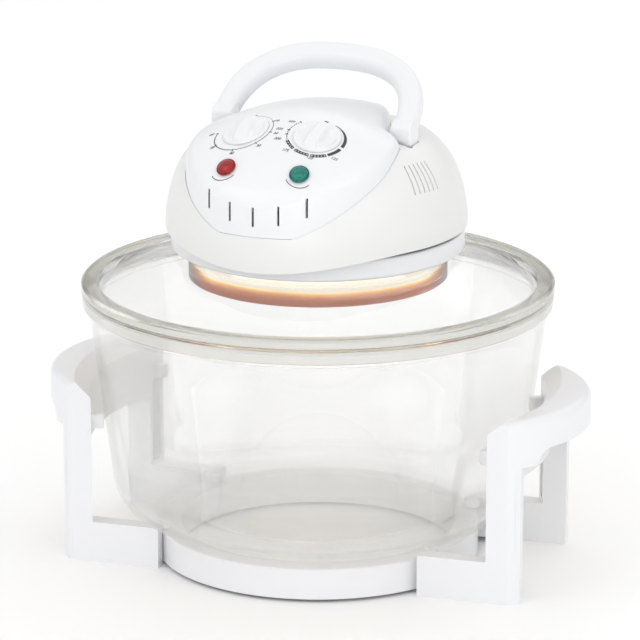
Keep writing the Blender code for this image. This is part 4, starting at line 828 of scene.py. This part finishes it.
class OVEN_OT_bowl(bpy.types.Operator):
    """Glass bowl with its rolled rim and thick base"""
    bl_idname = "oven.bowl"
    bl_label = "Bowl"

    def execute(self, context):
        base, top = BOWL_LOW.z, BOWL_HIGH.z
        corner = base + BOWL_CORNER_R
        outer = [(0, base + 0.4 * MM), (70 * MM, base + 0.4 * MM), (86 * MM, base), (100 * MM, base)]
        outer += [(BOWL_BASE_R + BOWL_CORNER_R * sin(t), corner - BOWL_CORNER_R * cos(t))
                  for t in quarter(20)]
        outer += [(bowl_radius(z), z) for z in (corner + (top - corner) * k / 8 for k in range(1, 7))]
        rim = top - 9.5 * MM
        outer += eased([
            (bowl_radius(rim), rim, 1.2), (RIM_R - 0.9 * MM, rim + 1.1 * MM, 1.4),
            (RIM_R - 0.5 * MM, top - 1.2 * MM, 1.2), (RIM_R - 1.5 * MM, top, 0.6),
            (bowl_radius(top) - BOWL_WALL, top, 1.4),
            (bowl_radius(rim) - BOWL_WALL, rim - 4 * MM, 1.0)])
        inner = [(bowl_radius(z) - BOWL_WALL, z)
                 for z in (corner + (rim - 8 * MM - corner) * k / 6 for k in range(6, 0, -1))]
        turn = BOWL_CORNER_R - BOWL_WALL
        inner += [(BOWL_BASE_R + turn * sin(t), corner - turn * cos(t))
                  for t in reversed(quarter(20))]
        inner += [(100 * MM, base + BOWL_WALL), (60 * MM, base + BOWL_WALL * 1.08),
                  (0, base + BOWL_WALL * 1.12)]
        piece("bowl_glass", spun("bowl", outer + inner, 224), "bowl", "clear_glass", "glass_bowl")
        return {'FINISHED'}


class OVEN_OT_lid(bpy.types.Operator):
    """Glass lid with its thick edge and locating lip"""
    bl_idname = "oven.lid"
    bl_label = "Glass lid"

    def execute(self, context):
        lip = LID_LOW.z
        low = lip + 4.5 * MM
        edge_top = low + 8.5 * MM
        edge_in = RIM_R - 13.5 * MM
        seat_r = LID_HOLE_R + 9.5 * MM
        glass = 4 * MM
        lip_r = bowl_radius(BOWL_HIGH.z) - BOWL_WALL - 4 * MM
        start = edge_top - 1.5 * MM

        def skin(share):
            return (edge_in + (seat_r - edge_in) * share,
                    start + (SEAT_Z - start) * share + 2.2 * MM * sin(pi * share))

        top = [skin(i / 24) for i in range(25)]
        rim = eased([
            (lip_r, low, 0.5), (RIM_R - 1.3 * MM, low, 0.8), (RIM_R, low + 1.6 * MM, 1.0),
            (RIM_R, edge_top - 1.8 * MM, 1.4), (RIM_R - 2.4 * MM, edge_top, 1.4),
            (edge_in + 1.8 * MM, edge_top, 1.2)])
        profile = rim + top
        profile += [(LID_HOLE_R + MM, SEAT_Z), (LID_HOLE_R, SEAT_Z - MM), (LID_HOLE_R, SEAT_Z - glass)]
        profile += [(r, z - glass) for r, z in reversed(top[1:])]
        profile += eased([(lip_r - 3 * MM, low - MM, 0.8), (lip_r - 3 * MM, lip, 1.0), (lip_r, lip, 1.0)])
        piece("lid_glass", spun("lid", profile, 224), "lid", "clear_glass", "glass_lid", look="lid_glass")
        return {'FINISHED'}


# ---------------- ring, collar and grille

class OVEN_OT_collar(bpy.types.Operator):
    """Lid ring, steel collar and guard grille"""
    bl_idname = "oven.collar"
    bl_label = "Ring, collar and grille"

    def execute(self, context):
        top, foot = RING_HIGH.z, RING_LOW.z
        outer, inner, wall = mm(105, 62, 3)
        ring = spun("ring", eased([
            (outer - 0.6 * MM, foot, 0.5), (94.1 * MM, foot, 0.3), (94.1 * MM, foot + wall, 0.5),
            (outer - wall, foot + wall, 0.8), (outer - wall, top - wall, 0.8),
            (inner, top - wall, 0.4), (inner, top, 0.6), (outer, top, 2.2),
            (outer, foot + 1.2 * MM, 0.8)]), 192)
        ring = combined(ring, at_bosses("hole", SCREW_HOLE_R, top - 8 * MM, top + OVER, 24))
        piece("seat_ring", placed(ring, HEAD_TURN), "lid", "white_plastic", "lid_ring")

        low, high = COLLAR_LOW.z, COLLAR_HIGH.z
        sheet, flange = 1.2 * MM, COLLAR_R - 10 * MM
        collar = spun("collar", eased([
            (COLLAR_R, high, 0.8), (COLLAR_R, low + 0.6 * MM, 0.5), (COLLAR_R - sheet, low, 0.5),
            (COLLAR_R - sheet, high - sheet, 0.6), (flange, high - sheet, 0.3),
            (flange, high, 0.3)], 3), 192)
        collar = combined(collar, at_bosses("hole", SCREW_HOLE_R, high - 5 * MM, high + 5 * MM, 24))
        # The collar's look paints the lamp's light and the shade at its sides onto the steel.
        piece("lit_collar", placed(collar, HEAD_TURN), "lid", "polished_steel", "metal_collar",
              look="lit_steel")

        wire_r = 1.1 * MM
        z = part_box("guard_grille")[0].z + wire_r
        outer = 91.4 * MM - wire_r
        parts = []
        for share in (0.25, 0.5, 0.75, 1.0):
            wire = [(outer * share + wire_r * c, z + wire_r * s) for c, s in circle(12)]
            parts.append(spun("wire", wire, 96))
        for i in range(4):
            spoke = placed(rod("spoke", wire_r, -outer, outer, 12, 0.3 * MM), spin('Y', pi / 2))
            parts.append(placed(spoke, spin('Z', pi * (i + 0.25) / 4), shift(0, 0, z + wire_r)))
        grille = combined(parts[0], parts[1:], 'UNION')
        piece("wire_grille", placed(grille, HEAD_TURN), "lid", "chromed_wire", "guard_grille")
        return {'FINISHED'}


# ---------------- housing

class OVEN_OT_housing(bpy.types.Operator):
    """Domed housing with louvres and the openings for panel, handle and cord"""
    bl_idname = "oven.housing"
    bl_label = "Housing"

    def execute(self, context):
        rings = [dome_ring(107 * MM, skirt_height)]
        rings += [dome_ring(r, z) for r, z in smooth_through(DOME_SHAPE, 4)]
        dome = lofted("dome", rings, cap_first=False)
        bm = bmesh_of(dome)
        if max(bm.faces, key=lambda f: f.calc_center_median().z).normal.z < 0:
            bmesh.ops.reverse_faces(bm, faces=bm.faces)
        bm.to_mesh(dome)
        bm.free()
        dome = walled(dome)

        middle = Vector((0, PANEL_CENTRE_Y))
        grown = [tuple(Vector(p) + (Vector(p) - middle).normalized() * GAP) for p in panel_outline()]
        tools = [prism("opening", grown, PANEL_FOOT - GAP, 340 * MM)]
        for side in (-1, 1):
            tools.append(on_pivot(rod("notch", *mm(8.764, 55, 77.36), 64), side))
            tools.append(block("swing room", mm(20, 4.8, 9.6), mm(side * 68.5, -16.2, 316), 0.8 * MM))
        inlet = rod("inlet", *mm(6.3, 99, 111), 48)
        tools.append(placed(inlet, spin('X', -pi / 2), shift(0, 0, 266 * MM)))
        louvres = []
        first, step, lean = 64, 2.9, radians(-34)
        for side in (-1, 1):
            for i in range(6):
                angle = side * radians(first + step * i)
                louvre = block("louvre", mm(1.3, 15.6, 22), rounding=0.5 * MM)
                spot = shift(*around(95.6 * MM, angle, 294.5 * MM))
                louvres.append(placed(louvre, spot @ spin('Z', angle) @ spin('X', lean)))
        deep, tip_r = mm(1.1, 0.5)
        core = lofted("core", [dome_ring(105 * MM, 245 * MM)]
                      + [dome_ring(max(r - deep, tip_r), z - deep) for r, z in smooth_through(DOME_SHAPE, 4)])
        tools.append(combined(merged("louvres", louvres), [core]))
        for tool in tools:
            dome = combined(dome, [tool])
        dome = combined(dome, at_bosses("boss", 4.5 * MM, RING_HIGH.z + GAP, 300 * MM, 32), 'UNION')
        dome = combined(dome, at_bosses("hole", SCREW_HOLE_R, 240 * MM, 258 * MM, 24))
        obj = piece("housing", placed(dome, HEAD_TURN), "lid", "housing_plastic", "head_housing")
        soft_edges(obj, 0.5 * MM, 2, 50)
        return {'FINISHED'}


# ---------------- panel

class OVEN_OT_panel(bpy.types.Operator):
    """Raised control panel with knob seats, lens holes and nose slots"""
    bl_idname = "oven.panel"
    bl_label = "Control panel"

    def execute(self, context):
        outline = panel_outline()
        fillet = 6 * MM
        rings = [panel_ring(outline, 0, 0, PANEL_FOOT), panel_ring(outline, 0, 0, PANEL_FOOT + 3 * MM)]
        rings += [panel_ring(outline, fillet * (1 - cos(t)), fillet * (1 - sin(t)))
                  for t in quarter(8)]
        for share in (0.84, 0.74, 0.64, 0.54, 0.44, 0.34, 0.24, 0.14, 0.06):
            inset = [(x * share, PANEL_CENTRE_Y + (y - PANEL_CENTRE_Y) * share) for x, y in outline]
            rings.append([(x, y, crown(x, y)) for x, y in inset])
        panel = walled(lofted("panel", rings, cap_first=False))
        tools = []
        through = 8 * MM
        for x in (-DIAL_X, DIAL_X):
            spot = crown_frame(x, DIAL_Y)
            tools.append(placed(rod("seat", 17.4 * MM, -1.2 * MM, through, 96), spot))
            tools.append(placed(rod("bore", BORE_R, -through, through, 32), spot))
        for x in (-LENS_X, LENS_X):
            tools.append(placed(rod("lens hole", 5.5 * MM, -through, through, 48), crown_frame(x, LENS_Y)))
        shades = []
        for x, top in ((0, 284.4), (18.1, 286.3), (36.5, 292.2)):
            y = PANEL_MID_Y - (PANEL_MID_Y - PANEL_NOSE_Y) * sqrt(1 - (x * MM / PANEL_HALF) ** 2)
            for sign in ((1,) if x == 0 else (-1, 1)):
                # Near-black strips inside the slots: painted shadow.
                shades.append(block("shade", mm(1.5, 2.4, 10.4),
                                    (sign * x * MM, y + (2.1 + 0.02 * x) * MM, (top - 8.3) * MM), 0.3 * MM))
                tools.append(block("slot", mm(1.7, 15, 13.8),
                                   (sign * x * MM, y, top * MM - 6.9 * MM), 0.5 * MM))
        for side in (-1, 1):
            tools.append(on_pivot(rod("pin hole", BORE_R, 47.5 * MM, 59.3 * MM, 32), side))
        for tool in tools:
            panel = combined(panel, [tool])
        obj = piece("panel", placed(panel, HEAD_TURN), "lid", "white_plastic", "control_panel")
        soft_edges(obj, 0.35 * MM, 2, 50)
        piece("slot_shades", placed(merged("slot_shades", shades), HEAD_TURN), "lid", "black_nylon",
              look="painted_slot_shadow")
        return {'FINISHED'}


# ---------------- printing

INK_DEPTH = 0.05 * MM


def unrolled(y):
    """Distance along the crown's front slope for a plan position."""
    return CROWN_Y - CROWN_R * asin((CROWN_Y - y) / CROWN_R)


def draped(mesh, lift):
    """Wrap flat printing over the front slope, lifted a hair off the panel."""
    for vert in mesh.vertices:
        x, s, high = vert.co
        lean = (CROWN_Y - s) / CROWN_R
        y = CROWN_Y - CROWN_R * sin(lean)
        normal = Vector((x / CROWN_CROSS_R, -sin(lean), cos(lean))).normalized()
        vert.co = Vector((x, y, crown(x, y))) + normal * (lift + high)
    mesh.transform(HEAD_TURN)
    return mesh


def band(centre, radius, start, end, width, steps):
    """A flat curved stroke; width may be a pair, from start to end. Angles run clockwise from the rear."""
    bm = bmesh.new()
    wide = width if isinstance(width, tuple) else (width, width)
    loops = []
    for i in range(steps + 1):
        angle = radians(start + (end - start) * i / steps)
        half = (wide[0] + (wide[1] - wide[0]) * i / steps) / 2
        loops.append([bm.verts.new((centre[0] + r * sin(angle), centre[1] + r * cos(angle), 0))
                      for r in (radius - half, radius + half)])
    for a, b in zip(loops, loops[1:]):
        bm.faces.new((a[0], a[1], b[1], b[0]))
    extruded(bm, bm.faces[:], INK_DEPTH)
    return mesh_of(bm, "stroke")


def ticks(centre, radius, angles, reach, width):
    """Short strokes, each reaching some degrees to either side of its angle."""
    return [band(centre, radius, angle - reach, angle + reach, width, 2) for angle in angles]


def number(size, text, x, y):
    """A printed number centred on a plan position of the panel, in mm."""
    curve = bpy.data.curves.new("number", 'FONT')
    curve.body = text
    curve.size = size * MM
    curve.align_x = 'CENTER'
    curve.align_y = 'CENTER'
    curve.extrude = INK_DEPTH / 2
    curve.shear = 0.3
    return placed(baked(linked("number", curve)), shift(x * MM, unrolled(y * MM), 0.03 * MM))


class OVEN_OT_printing(bpy.types.Operator):
    """Dial scales with plain numbers, and the curved strokes under the lenses"""
    bl_idname = "oven.printing"
    bl_label = "Dial printing"

    def execute(self, context):
        timer, radius = (-28.1 * MM, -68.0 * MM), 20.9 * MM
        strokes = ticks(timer, radius, [-12.6 + 3.8 * k for k in range(18)], 0.9, 0.3 * MM)
        strokes.append(band(timer, radius, 55, 118, 0.35 * MM, 24))
        strokes += ticks(timer, radius, [118 + 2.5 * k for k in range(64)], 0.75, 0.7 * MM)
        strokes += ticks(timer, radius + 0.5 * MM, (-12.6, 56.7, 97.2, 135.5, 181, 231.4, 277), 0.8, 2.4 * MM)
        strokes += [number(3.4, *mark) for mark in (
            ("0", -28.8, -45.3), ("10", -8.4, -55.0), ("20", -2.8, -70.4), ("30", -10.4, -82.9),
            ("40", -28.5, -88.4), ("50", -46.7, -80.3), ("60", -54.4, -63.7))]

        heat, radius = (25.9 * MM, -66.9 * MM), 20.5 * MM
        for start, end, first, last, steps in ((19.5, 62, 0.3, 1.9, 20), (62, 97.8, 1.9, 2.4, 16),
                                               (104.5, 136.3, 2.4, 2.2, 16)):
            strokes.append(band(heat, radius, start, end, (first * MM, last * MM), steps))
        for start, end, count in ((139.6, 171.1, 5), (174.6, 205.9, 5), (210.5, 238.8, 5)):
            for off in (-0.85, 0.85):
                strokes.append(band(heat, radius + off * MM, start, end, 0.65 * MM, 12))
            step = (end - start) / count
            for k in range(count + 1):
                angle = start + step * k
                first, last = max(start, angle - step * 0.29), min(end, angle + step * 0.29)
                strokes.append(band(heat, radius, first, last, 1.8 * MM, 3))
        strokes += ticks(heat, radius, [244 + 5.3 * k for k in range(13)], 1.4, 0.7 * MM)
        strokes += ticks(heat, radius + 0.3 * MM, (258, 272.6, 308), 0.9, 2.2 * MM)
        strokes += [number(3.3, *mark) for mark in (
            ("125", 45.1, -80.1), ("150", 29.1, -85.8), ("175", 10.5, -84.4), ("200", 0.7, -75.4),
            ("225", -2.1, -65.1), ("250", 2.7, -54.7))]
        strokes.append(band(heat, radius, -4.6, 3.2, 1.9 * MM, 8))

        strokes.append(band((-LENS_X - 0.6 * MM, unrolled(LENS_Y)), 10.2 * MM, 128, 236, 0.5 * MM, 24))
        strokes.append(band((LENS_X, unrolled(LENS_Y)), 10.2 * MM, 122, 233, 0.5 * MM, 24))
        printing = draped(merged("printing", strokes), context.scene.oven.print_lift)
        piece("dial_printing", printing, "lid", "white_plastic", look="print")
        return {'FINISHED'}


# ---------------- knobs and lenses

def knob_height(x, y, radius):
    """Height of a knob's top in mm: a shallow crown, a scoop on each side and a bar between them."""
    def ease(t):
        t = max(0, min(1, t))
        return t * t * (3 - 2 * t)

    crown_edge, crown_rise = 0.9, 1.7
    scoop_x, scoop_half_width, scoop_half_length, scoop_depth, scoop_spread = 9.6, 5.7, 10.6, 2.7, 1.15
    bar_half_width, bar_blend, bar_top, bar_fall = 5.9, 2.6, 4.9, 1.8
    crown_top = crown_edge + crown_rise * (1 - (x * x + y * y) / radius ** 2)
    off = ((abs(x) - scoop_x) / scoop_half_width) ** 2 + (y / scoop_half_length) ** 2
    scoop = scoop_depth * ease((scoop_spread - off) / scoop_spread)
    ridge = ease((bar_half_width - abs(x)) / bar_blend) * ease((1.03 - abs(y) / radius) / 0.25)
    bar = bar_top - bar_fall * (y / radius) ** 2
    return crown_top - scoop * (1 - ridge) + (bar - crown_top) * ridge


class OVEN_OT_knobs(bpy.types.Operator):
    """Two round knobs with scooped finger hollows either side of a bar"""
    bl_idname = "oven.knobs"
    bl_label = "Knobs"

    def execute(self, context):
        base, radius, sides, rows = -0.9, 16.8, 112, 34
        rim, lip, lip_rise, blend = 0.45, 1.1, 1.2, 2.2
        inner = radius - lip
        levels = [(radius, base), (radius, base + rim)]
        levels += [(radius - lip * (1 - cos(t)), base + rim + lip_rise * sin(t))
                   for t in (pi / 8, pi / 4, pi * 3 / 8)]
        for stem, x, body in (("timer", -DIAL_X, "timer_dial"), ("temp", DIAL_X, "temperature_dial")):
            loops = [[(r * c * MM, r * s * MM, z * MM) for c, s in circle(sides)] for r, z in levels]
            for row in range(rows):
                r = inner * (1 - row / rows)
                edge = min(1, (inner - r) / blend)
                loop = []
                for c, s in circle(sides):
                    high = knob_height(r * c, r * s, radius)
                    z = (base + rim + lip_rise) * (1 - edge) ** 2 + high * (1 - (1 - edge) ** 2)
                    loop.append((r * c * MM, r * s * MM, z * MM))
                loops.append(loop)
            bore = rod("bore", 3.25 * MM, (base - 3) * MM, (base + 4.0) * MM, 32)
            knob = placed(combined(lofted("knob", loops), [bore]), crown_frame(x, DIAL_Y), HEAD_TURN)
            piece(f"{stem}_dial_knob", knob, body, "white_plastic", f"{stem}_knob")
        return {'FINISHED'}


class OVEN_OT_lenses(bpy.types.Operator):
    """Domed indicator lenses with a thin bezel"""
    bl_idname = "oven.lenses"
    bl_label = "Lenses"

    def execute(self, context):
        radius, foot = 6.6 * MM * context.scene.oven.lens_scale, 0.6 * MM
        stalk, bulb_room, depth = mm(5.2, 3.1, 7)
        profile = [(radius * 0.86 * sin(t), foot + 0.9 * MM + 2.4 * MM * cos(t)) for t in quarter(12)]
        profile += eased([
            (radius * 0.90, foot + 0.7 * MM, 0.2), (radius * 0.97, foot + 1.2 * MM, 0.3),
            (radius, foot + 0.6 * MM, 0.3), (radius, foot, 0.2), (stalk, foot, 0.1),
            (stalk, -depth, 0.2), (bulb_room, -depth, 0), (bulb_room, -GAP, 0), (0, -GAP, 0)], 3)
        for stem, x, slot in (("power", -LENS_X, "red_lens"), ("heat", LENS_X, "green_lens")):
            lens = placed(spun("lens", profile, 64), crown_frame(x, LENS_Y), HEAD_TURN)
            piece(f"{stem}_indicator", lens, "lid", slot, f"{stem}_lens")
        return {'FINISHED'}


# ---------------- carry handle

class OVEN_OT_handle(bpy.types.Operator):
    """Bowed carry handle with rounded eyes over its pins"""
    bl_idname = "oven.handle"
    bl_label = "Carry handle"

    def execute(self, context):
        half, rise, power = 68.6 * MM, 63.2 * MM, 2.48
        bar_w, tip, roundness = 18.1 * MM, 0.88, 0.80
        lean = radians(-53.2)
        count = 96
        rings = []
        points = []
        for i in range(count + 1):
            c, s = cos(pi * i / count), sin(pi * i / count)
            reach = half * abs(c) ** (2 / power)
            points.append((reach if c >= 0 else -reach, rise * max(s, 0) ** (2 / power)))
        for i, (x, z) in enumerate(points):
            before, after = points[max(i - 1, 0)], points[min(i + 1, count)]
            along = Vector((after[0] - before[0], 0, after[1] - before[1])).normalized()
            if i in (0, count):
                along = Vector((0, 0, 1 if i == 0 else -1))
            outward = Vector((along.z, 0, -along.x))
            thick = bar_w * (tip + (1 - tip) * min(1, z / rise * 2)) / 2
            ring = []
            for c, s in circle(32, 0.5):
                across = thick * abs(c) ** roundness * (1 if c > 0 else -1)
                deep = thick * abs(s) ** roundness * (1 if s > 0 else -1)
                ring.append(Vector((x, 0, z)) + outward * across + Vector((0, deep, 0)))
            rings.append(ring)
        foot = 5 * MM
        bar = placed(lofted("bar", rings), shift(0, 0, foot) @ spin('X', lean))
        eyes, bores = [], []
        eye_r = bar_w * tip / 2
        near, far = PANEL_NOTCH + MM, half + eye_r
        for side in (-1, 1):
            turn = spin('X', lean) @ spin('Y', side * pi / 2)
            for share in (0.0, 0.33, 0.66, 1.0):
                eye = rod("eye", eye_r, near + 1.6 * MM * share, far, 64, 1.4 * MM)
                eyes.append(placed(eye, shift(0, 0, foot * share) @ turn))
            bores.append(placed(rod("bore", BORE_R, near - 4 * MM, half + 3 * MM, 32), turn))
        handle = remeshed(combined(bar, eyes, 'UNION'), 0.6 * MM, 10)
        handle = placed(combined(handle, bores), HEAD_TURN @ Matrix.Translation(PIVOT))
        piece("carry_bail", handle, "handle", "white_plastic", "carry_handle")
        return {'FINISHED'}


# ---------------- solids kept as they are

class OVEN_OT_plain_nodes(bpy.types.Operator):
    """Give every solid that is kept its material"""
    bl_idname = "oven.plain_nodes"
    bl_label = "Kept solids"

    def execute(self, context):
        slots = {entry["node"]: entry["material_slot"] for entry in frame["record"]["subparts"]}
        for name, obj in frame["nodes"].items():
            # The reflector plate gets the collar's look, with the lamp's light and shade painted on it.
            look = finish("lit_steel" if name == "reflector_plate" else slots[name])
            if not obj.data.materials:
                obj.data.materials.append(look)
            for slot in obj.material_slots:
                slot.material = look
        return {'FINISHED'}


# ---------------- stage

PHOTO_PIXELS = 640
FOCAL_PIXELS = 3808.74
CAMERA_SPOT = (0.7962, -2.5181, 0.91895)
CAMERA_TILT = 15.754
CAMERA_TURN = 17.516


class OVEN_OT_stage(bpy.types.Operator):
    """Pale floor, soft lights and the camera at the photo's viewing angle"""
    bl_idname = "oven.stage"
    bl_label = "Stage"

    def execute(self, context):
        scene = context.scene
        bm = bmesh.new()
        bmesh.ops.create_grid(bm, x_segments=2, y_segments=2, size=6)
        floor = linked("floor", mesh_of(bm, "floor"))
        paper = material("studio floor")
        floor.data.materials.append(paper.shade({
            "Base Color": paper.two_tone(paper.noise(3, 2), (0.97, 0.97, 0.97), (0.98, 0.98, 0.98)),
            "Roughness": 0.6}))

        sky = Nodes(bpy.data.worlds.new("studio"), "Background")
        greys = ((0, 0.9), (0.10, 0.62), (0.22, 0.66), (0.45, 1))
        scene.world = sky.shade({
            "Color": sky.ramp(sky.height("Generated"), *[(z, (grey,) * 3) for z, grey in greys]),
            "Strength": 1.03})

        def lamp(name, place, target, size, power):
            light = bpy.data.lights.new(name, 'AREA')
            light.shape = 'RECTANGLE'
            light.size, light.size_y = size
            light.energy = power
            obj = linked(name, light)
            obj.location = place
            obj.rotation_euler = (Vector(target) - Vector(place)).to_track_quat('-Z', 'Y').to_euler()

        lamp("key", (-1.4, -1.6, 2.0), (0, 0, 0.15), (1.4, 1.4), 3.5)
        lamp("fill", (2.0, -1.2, 1.2), (0, 0, 0.15), (1.6, 1.6), 5)
        lamp("back", (0.3, 2.2, 1.8), (0, 0, 0.2), (2.2, 1.2), 3)
        lamp("low front", (0.5, -2.6, 0.45), (0, 0, 0.05), (1.8, 0.7), 9)

        camera = bpy.data.cameras.new("camera")
        camera.sensor_width = 36
        camera.lens = FOCAL_PIXELS * camera.sensor_width / PHOTO_PIXELS
        camera.clip_end = 50
        obj = linked("camera", camera)
        obj.location = CAMERA_SPOT
        obj.rotation_euler = (radians(90 - CAMERA_TILT), 0, radians(CAMERA_TURN))
        scene.camera = obj
        scene.view_settings.view_transform = 'Standard'
        return {'FINISHED'}


class OVEN_PT_pieces(bpy.types.Panel):
    """Lists the oven's pieces"""
    bl_idname = "OVEN_PT_pieces"
    bl_label = "Halogen oven"
    bl_space_type = 'VIEW_3D'
    bl_region_type = 'UI'
    bl_category = "Oven"

    def draw(self, context):
        column = self.layout.column()
        for name in OvenSettings.__annotations__:
            column.prop(context.scene.oven, name)
        for operator in PIECES:
            column.operator(operator.bl_idname)


PIECES = (OVEN_OT_stand, OVEN_OT_bowl, OVEN_OT_lid, OVEN_OT_collar, OVEN_OT_housing, OVEN_OT_panel,
          OVEN_OT_printing, OVEN_OT_knobs, OVEN_OT_lenses, OVEN_OT_handle, OVEN_OT_plain_nodes, OVEN_OT_stage)
CLASSES = (OvenSettings,) + PIECES + (OVEN_PT_pieces,)


def register():
    for cls in CLASSES:
        bpy.utils.register_class(cls)
    bpy.types.Scene.oven = bpy.props.PointerProperty(type=OvenSettings)


def unregister():
    del bpy.types.Scene.oven
    for cls in reversed(CLASSES):
        bpy.utils.unregister_class(cls)


def main():
    register()
    for operator in PIECES:
        group, call = operator.bl_idname.split(".")
        getattr(getattr(bpy.ops, group), call)()


if __name__ == "__main__":
    main()
